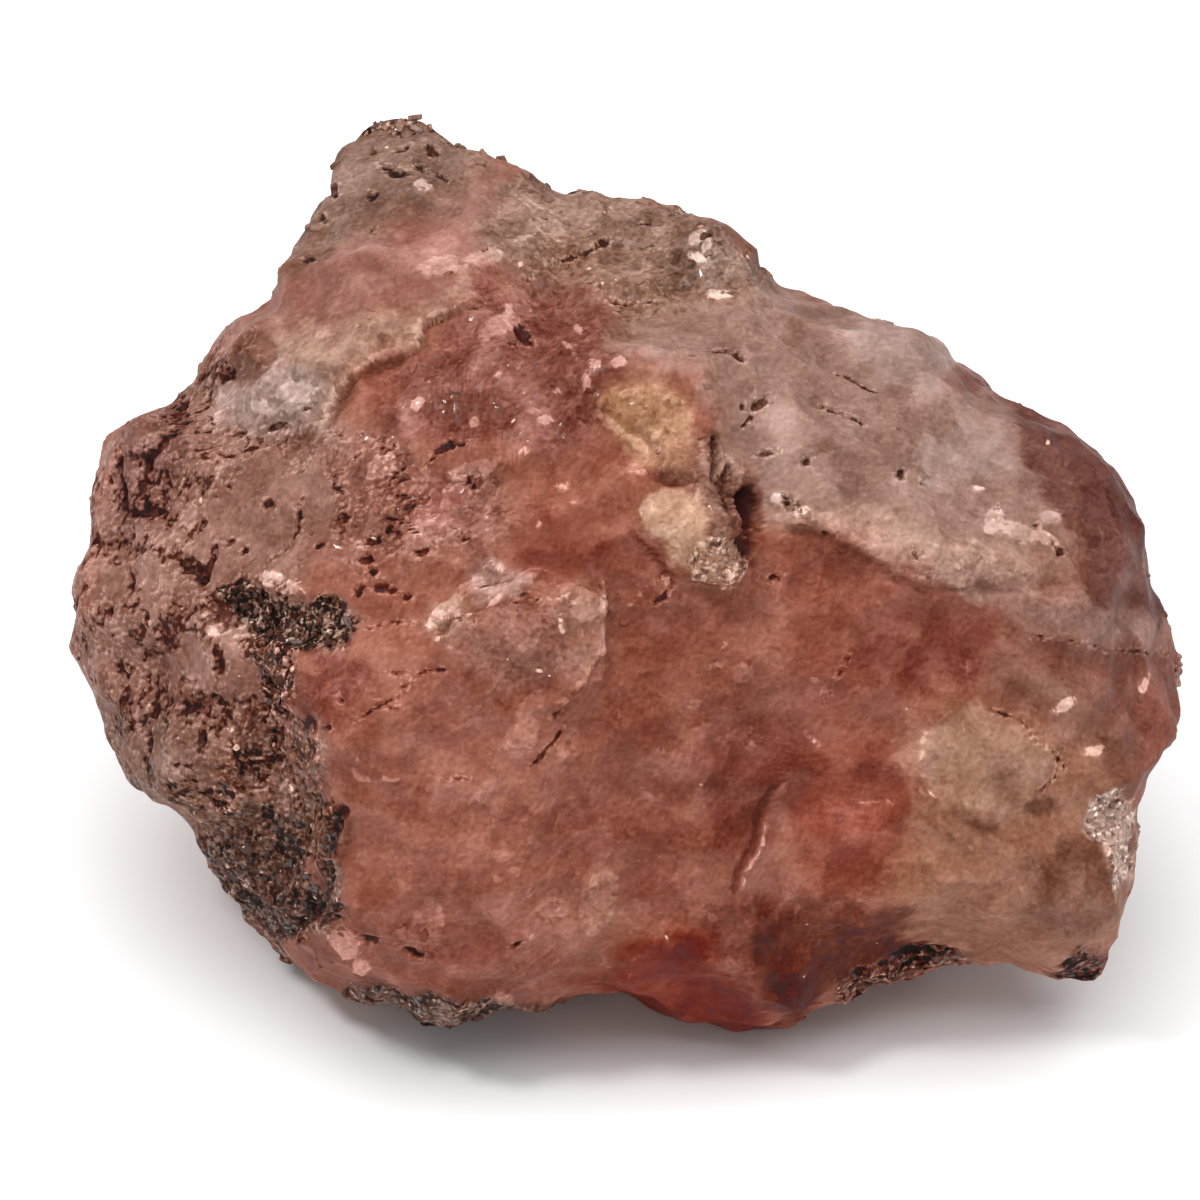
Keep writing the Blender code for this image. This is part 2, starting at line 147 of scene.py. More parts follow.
BACK_LUMPS = {
    "back boss": (5.5, 4, 3.6, 2.6, 30, 1.1, 1.6),
    "back shoulder": (-11, 7.5, 3.4, 2.2, -25, 0.9, 1.4),
    "back knob": (14.5, 6, 2.1, 1.8, 0, 0.95, 1.8),
    "back plate": (-5, -1, 4.4, 3, 15, 0.65, 2.2),
    "back heel": (9, -6, 3.4, 2.4, -20, 0.8, 1.4),
    "back pocket": (0.5, 8, 1.9, 1.2, -30, -1.1, 1.5),
    "back gully": (-1, 3, 0.9, 4.2, 25, -0.7, 1.3),
    "left pocket": (-16, 1, 1.5, 2.4, 10, -0.8, 1.4),
    "right pocket": (17.5, -1.5, 1.8, 1.2, 35, -0.8, 1.5),
}

# Ledges: a path of (across, up) points with the higher ground on its left as it is walked, the drop, and
# how far the ground stays low beyond it.
FRONT_LEDGES = {
    "front face over the dark flank": ([(-11.4, -13.8), (-11.2, -8.6), (-12.4, -4)], -1.25, 3.6),
    "rose band over the middle": ([(-15.6, 7), (-10.7, 8.9), (-5.3, 12.6), (-1.8, 14.2)], 0.55, 2.6),
    "chalky ridge": ([(0.1, 0.1), (-3.2, 0.9), (-6.6, -1.4), (-9.8, -1.7)], 0.45, 1.6),
    "flake rim": ([(-1.8, -4.8), (0, -2.6), (0.2, 0.3)], 0.5, 1.8),
    "pale crest over the red": ([(8.2, 2.6), (12.4, 1), (18.4, 0.9)], 0.85, 2.8),
    "right crest": ([(15, -1.5), (20, -2.1), (23.5, -2.1)], 0.45, 2),
    "amber block's side": ([(13.3, -4.6), (13.2, -9.8)], 0.55, 2.2),
    "splinter": ([(6, -12.2), (8.4, -5.6)], 0.4, 1.2),
    "upper honey step": ([(-3.4, 13), (1, 12.2), (5, 12)], 0.5, 1.8),
}
BACK_LEDGES = {
    "back stair": ([(-9, -4), (-1, 0.5), (3, 7)], 0.8, 3),
    "right stair": ([(10.5, 8), (12, 1), (10, -6)], 0.7, 2.6),
    "left stair": ([(-12, 9), (-9.5, 4)], 0.55, 2.2),
}

# Broken flats all over: (cell size, tilt, seed); how deeply each is dished, how hard the arrises between
# them are, and a lift that keeps their average level.  Then low swells: (size, height, seed).
FACETS = [(6.0, 0.15, 11), (2.7, 0.14, 23)]
DISH = 0.36
ARRIS = 60.0
MEAN_DISH = -0.075
SCATTER = 0.42  # how far a dish may lie from its cell's middle, in cells
SWELLS = [(7.0, 0.35, 5)]
FRONT_SHARE = 0.55  # how much of that roughness the display face keeps, against the back's 1
RIM_SHARE = 0.30  # and the outline
LEDGE_EDGE = 0.22  # how softly the ground drops at a ledge, in mm
SIDE_FACING = 2.2  # how soon lumps and ledges reach their full height away from the outline
NORMALS_FROM = (22.0, 17.5, 14.0)  # half sizes of the ellipsoid whose normals the lumps stand along, in mm

VIEWING_DISTANCE = 155.0  # marks are placed as they are seen from here

# ---- shades, as display values from 0 to 255
SHADES = {
    "rose": (133, 78, 63), "bright rose": (128, 62, 48), "clear red": (109, 50, 37),
    "deep red": (136, 79, 64), "window red": (113, 66, 56), "rim red": (95, 58, 52),
    "ember": (106, 24, 4), "dusty rose": (135, 97, 85), "pink band": (132, 90, 80),
    "pale flesh": (133, 102, 91), "lilac grey": (145, 121, 114), "beige": (125, 96, 83),
    "dim greige": (102, 73, 61), "greige": (118, 83, 65), "shelf": (149, 116, 98),
    "honey": (157, 115, 86), "cream": (177, 138, 114), "tan": (156, 117, 97),
    "buff": (141, 96, 76), "smoke": (108, 70, 56), "grey brown": (111, 86, 74),
    "mica brown": (70, 42, 30), "pit brown": (26, 7, 5), "mauve": (109, 55, 44),
    # foot mauve is the foot's mauve with painted shade where the foot faces down
    "dark mauve": (70, 24, 16), "foot mauve": (75, 20, 4), "rust": (74, 43, 35),
    "frost": (180, 153, 141), "grain pink": (222, 176, 158), "pebble": (162, 104, 86),
}
BODY_SHADE = "rose"
BODY_TEXTURE = (0.15, 0.012, 0.0)  # grain, pits and mica where no wash is laid

# Washes over the display face, broad ones first: (shade, strength, edge softness, (grain, pits, mica), outline).
# Grain says how crumbly the skin is there, pits how thickly it is pitted, mica how much mica it holds.
FRONT_WASHES = {
    "dusty side": ("dusty rose", 0.95, 1.4, (0.24, 0.2, 0.03), [(-22.5, 7.5), (-18, 10.5), (-14.6, 12), (-12.5, 9.6),
        (-10.8, 7.4), (-10.8, 5), (-12.2, 1.9), (-13.6, -1), (-14.4, -5), (-16, -9), (-22, -10), (-24, -2)]),
    "side under the cheek": ("dim greige", 0.7, 1.4, (0.3, 0.2, 0.08), [(-22, -5), (-18, -4.6), (-15.6, -6.2),
        (-15.2, -9.6), (-17.5, -12), (-22, -9)]),
    "rose band of the top": ("pink band", 0.95, 0.9, (0.12, 0.02, 0), [(-14.6, 11.2), (-13, 13.6), (-10.4, 15.4),
        (-7.5, 16.6), (-4.4, 19), (-2.7, 17.6), (-4, 15.6), (-3, 14), (-8.3, 12.6), (-10.8, 11.4), (-13, 10.6)]),
    "summit": ("grey brown", 0.92, 0.7, (0.26, 0.05, 0.02), [(-13.6, 13.4), (-12.4, 17), (-10.8, 20.5), (-7.5, 21.5),
        (-4.4, 19), (-5.4, 17.4), (-7.4, 16.2), (-9.6, 15.2), (-11.6, 14.2)]),
    "flaky top": ("beige", 0.95, 0.5, (0.38, 0.04, 0), [(-5, 15.6), (-3.3, 18.6), (-1.7, 18), (1.7, 17.6), (4.4, 17),
        (7, 14.5), (8.6, 12.4), (5.8, 11.6), (3.4, 11.6), (1.2, 11.2), (0.4, 12.4), (-1.7, 12.9), (-3.2, 12.6),
        (-4, 14)]),
    "flaky top's shade": ("greige", 0.85, 0.5, (0.4, 0.05, 0.02), [(-3.4, 13), (-2.6, 14.4), (0, 15), (1, 13.2),
        (3.2, 13.6), (6.4, 13), (6, 12), (3.4, 12.1), (1.2, 11.6), (0.2, 12.7), (-1.7, 12.8)]),
    "cream shelf": ("shelf", 0.9, 0.45, (0.26, 0.02, 0), [(-13.8, 10.9), (-11.7, 11.4), (-8.6, 12), (-5.4, 13.6),
        (-5.4, 12.5), (-7.4, 11.8), (-7.7, 10.8), (-9, 10.1), (-10.7, 9), (-11.4, 7.2), (-12.9, 8.8)]),
    "lilac shelf": ("lilac grey", 0.88, 0.45, (0.34, 0.05, 0), [(-15.9, 8.4), (-14.6, 9.3), (-12.9, 9.7), (-11.4, 9.2),
        (-11.3, 7.2), (-12.6, 6.7), (-14, 6.9), (-15.4, 7.3)]),
    "red heart": ("window red", 0.85, 0.8, (0.34, 0.03, 0), [(-7, 10.8), (-5.2, 12.8), (-1.7, 13), (0.2, 12.2),
        (1, 9.8), (-0.3, 7.2), (-1.7, 6.2), (-4.2, 6.5), (-6.4, 6.4), (-8.3, 6.6), (-9.6, 7), (-8.6, 9.2)]),
    "mottled waist": ("dusty rose", 0.55, 1, (0.38, 0.08, 0.02), [(-11.6, 7), (-9.2, 7.4), (-7.4, 5.4), (-4.2, 5.4),
        (-3, 3.4), (-5.6, 1.6), (-10.6, 1.2), (-12.2, 3)]),
    "clear hollow": ("clear red", 0.85, 0.9, (0.1, 0, 0), [(-3.2, 3.6), (-1.6, 4.2), (0.4, 3.4), (0, 1.6), (-1.8, 0.8),
        (-3.4, 1.4)]),
    "smooth plate": ("dusty rose", 0.5, 0.7, (0.34, 0.02, 0), [(-5.6, -0.3), (-3.2, -0.1), (-0.4, -0.9), (-0.4, -2.8),
        (-2.2, -4), (-4.6, -3.6), (-6.4, -1.8)]),
    "columns beside the knob": ("beige", 0.7, 0.3, (0.4, 0, 0), [(3.75, 5.4), (4.05, 6.7), (5.8, 6.7), (6, 5),
        (5.75, 4.2), (5.55, 2.9), (5.9, 2.3), (5.6, 1.7), (4.2, 2.3), (4.1, 3.75)]),
    "milky end of the ridge": ("shelf", 0.7, 0.35, (0.35, 0, 0), [(-7.1, -1.2), (-6.9, -0.3), (-6, 0.2), (-5.2, -0.2),
        (-5.4, -0.8), (-6, -1.5), (-6.7, -1.6)]),
    "milky top of the ridge": ("lilac grey", 0.6, 0.4, (0.3, 0, 0), [(-5.6, 0.8), (-5, 1.6), (-4, 1.4), (-2.8, 1),
        (-3.3, 0.3), (-4.2, 0.2), (-5, 0)]),
    "flake's beige face": ("shelf", 0.42, 0.35, (0.26, 0, 0), [(-2.4, 0.4), (-1, 0.7), (0, 0.3), (0.35, -0.6),
        (0.25, -1.9), (-0.2, -2.9), (-0.7, -2.8), (-1, -2.1), (-1.7, -1.3), (-1.8, 0)]),
    "smooth of the side": ("dusty rose", 0.9, 0.8, (0.22, 0.03, 0.02), [(-17.1, 2.5), (-15, 5.4), (-11.7, 5.4),
        (-11.3, 2.5), (-14.6, 0.6), (-16.5, 0.6)]),
    "brown edge of the side": ("rim red", 0.45, 0.8, (0.3, 0.24, 0.02), [(-21.5, 3.5), (-20.5, 6.5), (-17.5, 8.6),
        (-16.2, 7.6), (-17.5, 5.5), (-18.6, 3)]),
    "shade under the mica": ("mauve", 0.75, 0.8, (0.3, 0.05, 0.04), [(-12.6, -1.9), (-10.2, -1.9), (-9.4, -2.8),
        (-9.6, -4), (-11.2, -5.4), (-12.8, -5)]),
    "pale cloud of the front": ("pebble", 0.34, 1.2, (0.14, 0.01, 0), [(-5.2, -5), (-1.8, -4.8), (0.2, -5.4),
        (0.3, -7.6), (-2, -8), (-5, -7.6)]),
    "shade along the underside": ("mauve", 0.36, 1.2, (0.15, 0.01, 0), [(-12.5, -14), (-9.5, -13.2), (-5, -14),
        (-1.4, -14), (-1.6, -17.2), (-11, -17)]),
    "dim patch by the stain": ("mauve", 0.42, 0.7, (0.14, 0.01, 0), [(-0.8, -10.2), (2.6, -9.8), (3, -12.4),
        (0.4, -12.6)]),
    "shade round the glassy boss": ("grey brown", 0.6, 0.4, (0.45, 0.03, 0), [(2.6, 14.9), (4.6, 15.6), (5.9, 14),
        (4.8, 12.5), (2.6, 13.1)]),
    "pale shoulder": ("pale flesh", 0.96, 0.5, (0.13, 0.02, 0), [(0.4, 11.3), (3.2, 12), (7.5, 13.2), (10.4, 12.6),
        (13.5, 12.4), (16.6, 10), (17.6, 7.4), (19.2, 4), (19.6, 1.8), (17.5, 0.6), (14.6, 0.5), (11.7, 1.5),
        (9.6, 2.9), (7, 3.6), (6, 5.2), (5.3, 7), (4.2, 9.6), (1.7, 9.7)]),
    "grey top of the shoulder": ("lilac grey", 0.7, 0.6, (0.1, 0.02, 0), [(10.2, 11), (11.4, 12.6), (14.6, 11.4),
        (15.6, 10), (13.8, 8.8), (11.6, 9)]),
    "lilac cheek": ("lilac grey", 0.6, 0.6, (0.04, 0, 0), [(13.8, 6.4), (15.4, 7.8), (17.2, 7.4), (17.4, 5.6),
        (15.6, 5), (13.6, 5)]),
    "pale band over the lip": ("cream", 0.44, 0.7, (0.3, 0.03, 0), [(7, 3.4), (9.4, 3.6), (12, 3.6), (15, 2),
        (18.6, 2.2), (19.4, 1.2), (17.5, 0.6), (14.6, 0.5), (11.7, 1.5), (9.6, 2.8)]),
    "red wedge": ("window red", 0.75, 0.2, (0.1, 0, 0), [(13.9, 9.2), (15.2, 9.8), (16.2, 9.6), (15.9, 8.8),
        (14.4, 8.7)]),
    "red rim": ("rim red", 0.92, 0.6, (0.14, 0.02, 0), [(15.8, 9.6), (18.6, 9.4), (24, 4.5), (25.5, -1), (22.6, -1),
        (20.8, -0.6), (20, 1.2), (19.4, 3.4), (17.7, 5.6), (17.3, 7.4)]),
    "rose end": ("lilac grey", 0.62, 0.6, (0.18, 0.02, 0), [(14, 0.4), (17.6, 0.5), (20.2, 0.8), (22.4, -0.6),
        (24.6, -2.1), (21.5, -2.1), (19.5, -1.7), (17.8, -1.5), (16.4, -0.6)]),
    "deep window": ("deep red", 0.96, 0.3, (0.1, 0.02, 0), [(7.7, 2.8), (9.6, 2.6), (10.4, 2.1), (11.7, 1.4),
        (12.5, 0.6), (14.6, 0.3), (16.4, -0.5), (16.8, -2.5), (15.6, -4), (12.5, -4.6), (10.6, -5.2), (10.2, -8.6),
        (8.4, -6.2), (7.4, -2.4)]),
    "darkest window": ("dark mauve", 0.35, 1, (0.1, 0, 0), [(10.6, -0.8), (14, -0.6), (16.2, -1.2), (15.6, -3.8),
        (12.4, -4.2), (10, -3.2)]),
    "lit window": ("bright rose", 0.85, 0.7, (0.1, 0, 0), [(8.2, -6.4), (10, -5.2), (12.6, -6), (13.2, -8.4),
        (12.8, -12.2), (10.4, -12.6), (8.4, -11.6), (8.2, -8.6)]),
    "lilac end": ("dim greige", 0.6, 0.8, (0.08, 0.01, 0), [(16.6, -2.2), (19.6, -2.4), (22.6, -2.6), (22.8, -6),
        (21.6, -8.4), (19.4, -6.2), (18, -4.8), (16.2, -4)]),
    "brown end": ("window red", 0.6, 0.7, (0.1, 0.02, 0), [(18, -1.7), (23.9, -2.3), (24.5, -7), (22.8, -8), (22, -5.4),
        (20, -3.2)]),
    "amber corner": ("buff", 0.95, 0.6, (0.15, 0.02, 0), [(12.9, -5.2), (16.4, -4.2), (19.6, -5.6), (21.9, -7.4),
        (22.6, -10), (21.8, -14.4), (20.4, -16.6), (15.8, -15.8), (12.4, -13.8), (11.8, -11.8), (13.2, -9.6)]),
    "amber block": ("tan", 0.85, 0.25, (0.18, 0.02, 0), [(13.5, -5.4), (16.1, -4.6), (17.9, -5.3), (19.2, -6.5),
        (18.2, -7.8), (17.7, -9.1), (15.5, -8.8), (13.4, -8)]),
    "block's neighbour": ("pebble", 0.42, 0.15, (0.15, 0, 0), [(11.4, -6.2), (13.2, -6.1), (13.2, -7.6), (12.4, -7.4),
        (11.5, -7.7)]),
    "block's lobe": ("pebble", 0.4, 0.25, (0.15, 0, 0), [(12.6, -5.4), (13, -4.2), (13.8, -4), (14.2, -4.8),
        (13.4, -5.6)]),
    "amber boss": ("rust", 0.45, 0.5, (0.14, 0, 0), [(17.6, -11.4), (18.8, -10), (20.6, -10.2), (21.6, -11.8),
        (21.4, -13.4), (19.4, -13.8), (18, -12.8)]),
    "frosted edge": ("frost", 0.85, 0.3, (0.95, 0.1, 0), [(20.4, -8.7), (21.6, -7.6), (22.4, -8.6), (22.4, -10.8),
        (21.6, -12.4), (21.1, -11.6), (21, -10.4), (20.2, -9.8)]),
    "dark corner": ("dark mauve", 0.85, 0.35, (0.6, 0.3, 0.1), [(18.6, -15.4), (20.2, -14.6), (21.2, -15), (21, -17.2),
        (18.8, -16.8)]),
    "underside strip": ("smoke", 0.9, 0.35, (1, 0.35, 0.55), [(9.8, -15.6), (11.4, -14.8), (14.4, -14.4), (15.4, -14.9),
        (15.4, -17), (10, -17)]),
    "dark flank": ("smoke", 0.96, 0.5, (0.6, 0.14, 0.34), [(-15.2, -4.6), (-13.8, -4.4), (-11.6, -5.8), (-11, -8.4),
        (-10.7, -9.8), (-11.4, -11.6), (-11.7, -13.8), (-13.2, -14.8), (-15.8, -13), (-17.5, -10.2), (-16.3, -7.6)]),
    "flank's dark foot": ("mica brown", 0.95, 0.8, (0.66, 0.18, 0.45), [(-16.8, -9.8), (-14.6, -8.8), (-11.6, -9.6),
        (-12, -12.2), (-13.4, -14.4), (-16.4, -13)]),
    "grey underside": ("mica brown", 1, 0.3, (0.6, 0.2, 0.25), [(-10.4, -15.9), (-9, -16.2), (-6.5, -16.4),
        (-3.5, -16.5), (-1.6, -16.6), (-1.6, -18.5), (-11, -18.5)]),
    "mica pocket": ("mica brown", 0.96, 0.2, (1, 0.5, 1), [(-15.8, 0.1), (-15, 0.7), (-13.8, 0.2), (-12.6, 0),
        (-11.3, 0.2), (-9.9, -0.8), (-10.4, -2.1), (-12.4, -2.2), (-13.4, -2), (-14.4, -1.6), (-15.3, -1)]),
    "mica gully": ("smoke", 0.7, 0.3, (1, 0.4, 0.9), [(-14.6, -1.6), (-12.8, -2), (-12.6, -3.4), (-12.8, -4.8),
        (-13.6, -5.2), (-14, -3.6)]),
    "mauve stain": ("mauve", 0.8, 0.5, (0.08, 0, 0), [(4.4, -7.2), (4.6, -5.9), (6.6, -5.1), (7.9, -4.7), (8.4, -5.8),
        (8.2, -8.2), (7, -9.8), (6, -11), (4.6, -9.4)]),
    "thin splinter": ("pebble", 0.25, 0.15, (0.05, 0, 0), [(5.9, -12), (6.6, -10.3), (7.1, -8.9), (7.5, -7.9),
        (8, -8.2), (8.2, -11.4), (7.4, -12.2)]),
    "mauve foot's lighter side": ("mauve", 0.85, 1, (0.2, 0.03, 0.02), [(4.2, -13.6), (5.4, -12.4), (7.2, -12),
        (7.8, -14), (7.4, -16.4), (7, -18.6), (5.8, -17.6), (4.8, -15.8)]),
    # mauve foot: the foot's own mauve, darkened by painted shade where it faces down
    "mauve foot": ("foot mauve", 0.9, 0.9, (0.2, 0.04, 0.04), [(7, -12.6), (8.4, -12), (10.6, -12.6), (13, -13.2),
        (13.6, -14.8), (11.2, -15.6), (9.4, -16.4), (8, -18.2), (6.8, -17.2), (6.6, -14.6)]),
    "ember foot": ("ember", 0.85, 0.6, (0.06, 0, 0), [(-1, -15.9), (1.6, -14.6), (3.6, -14), (5, -15.6), (6.4, -17.2),
        (6.6, -18.8), (3.6, -18.4), (1.2, -17)]),
    "greenish foot": ("greige", 0.3, 0.7, (0.02, 0, 0), [(-1.4, -11.6), (0.2, -11.2), (1, -13), (1.2, -15.6),
        (-0.4, -15.9), (-1, -13.8)]),
    "honey patch": ("honey", 0.92, 0.38, (0.3, 0.02, 0), [(-0.3, 8.3), (0.7, 9.2), (2.6, 9.3), (3.8, 8.5), (3.9, 6.8),
        (3.8, 5.4), (2.2, 5.7), (0.4, 6.8)]),
    "knob": ("cream", 0.95, 0.15, (0.22, 0, 0), [(1.4, 3.6), (1.9, 4.5), (2.9, 4.8), (4.2, 4.4), (4.6, 3), (4.4, 1.8),
        (3.9, 1), (3, 1.1), (2.2, 2.4)]),
    "knob's crumbly foot": ("tan", 0.85, 0.25, (1, 0.16, 0.25), [(3.8, 2), (4.8, 2.6), (5.9, 2.4), (6.3, 1.4),
        (5.6, 0.4), (4.2, 0.6), (3.6, 1.2)]),
    "dusky dip above the ridge": ("mauve", 0.8, 0.8, (0.3, 0.12, 0), [(-8.2, 3), (-8.1, 4.6), (-6.4, 4.9),
        (-5.9, 3.2)]),
    "rosy patch below the shelf": ("rose", 0.8, 0.7, (0.15, 0.02, 0), [(9.5, 1.4), (9.5, 2.7), (11.2, 2.8),
        (11.4, 1.4)]),
    "dusky foot of the shoulder": ("smoke", 0.55, 0.9, (0.2, 0.02, 0), [(18.3, 1.2), (18.2, 2.9), (20.2, 3.1),
        (20.4, 1.3)]),
    "rosy middle of the top": ("rose", 0.5, 0.9, (0.15, 0.02, 0), [(-8.2, 13.8), (-8, 15.3), (-6.3, 15.7), (-6, 14)]),
    "brown neck of the stain": ("smoke", 0.55, 0.6, (0.25, 0.04, 0), [(2.6, 5), (2.5, 6.4), (4.1, 6.6), (4.4, 5.1)]),
}

# Spots on the display face: (shade, strength, edge softness, rise, [(across, up, half length, half width, turn)]).
FRONT_SPOTS = {
    "rose oval": ("dusty rose", 0.75, 0.3, 0.12, [(-15.6, -4.5, 1.7, 0.72, 82)]),
    "smoky chip": ("smoke", 0.85, 0.14, -0.1, [(-14.3, 10.2, 1, 0.82, 55)]),
    "smoky chip's face": ("grey brown", 0.55, 0.12, 0.05, [(-14.7, 9.9, 0.55, 0.4, 70)]),
    "bruise on the side": ("dark mauve", 0.4, 0.6, -0.08, [(-18, -2.9, 1.4, 0.9, 80), (-17.8, -4.2, 1.6, 0.36, -4)]),
    "grey specks by the shelf": ("smoke", 0.7, 0.2, -0.12, [(-12.2, 6.6, 0.75, 0.34, 0), (-10.6, 7.1, 0.5, 0.26, 20),
        (8.1, 11.1, 0.5, 0.44, 70), (-2.4, 13.4, 0.85, 0.34, 25), (3.1, 14.8, 0.58, 0.3, 85),
        (-2.1, 17.3, 0.6, 0.24, -10), (9.1, 8.3, 0.34, 0.28, 0), (9.4, 6.4, 0.4, 0.24, 40)]),
    "dark rim of the top": ("grey brown", 0.8, 0.3, 0, [(6.2, 14.4, 1.8, 0.6, -48), (4.2, 14.5, 0.9, 0.75, 0),
        (-9.2, 19.6, 0.7, 0.22, 15), (-10.3, 18.8, 0.34, 0.24, 0), (-11, 17.2, 0.2, 0.5, 0)]),
    "brown under the honey": ("rust", 0.85, 0.2, -0.22, [(3, 5.1, 0.95, 0.34, -8), (4.8, 6, 0.2, 0.9, 0),
        (5.3, 4.6, 0.24, 1.1, 0)]),
    "dark hollow": ("pit brown", 0.85, 0.28, -0.3, [(6.2, 3.9, 0.42, 0.95, 0), (6.2, 2.4, 0.36, 0.6, -20)]),
    "hollow's dark crumbs": ("mica brown", 0.7, 0.15, -0.12, [(6.7, 3.2, 0.16, 0.34, 0), (5.6, 4.6, 0.12, 0.34, 0),
        (6.4, 1.5, 0.26, 0.14, 30)]),
    "brown pocket": ("rust", 0.65, 0.16, -0.14, [(18.4, -8.6, 0.76, 0.36, 5), (16, -9.5, 0.85, 0.22, -14),
        (14.5, -9.9, 0.1, 0.24, 0)]),
    "dark bottom crumbs": ("mica brown", 0.85, 0.25, 0, [(-7.9, -16.9, 1, 0.36, -12), (-9.2, -16.4, 0.5, 0.2, -30)]),
}
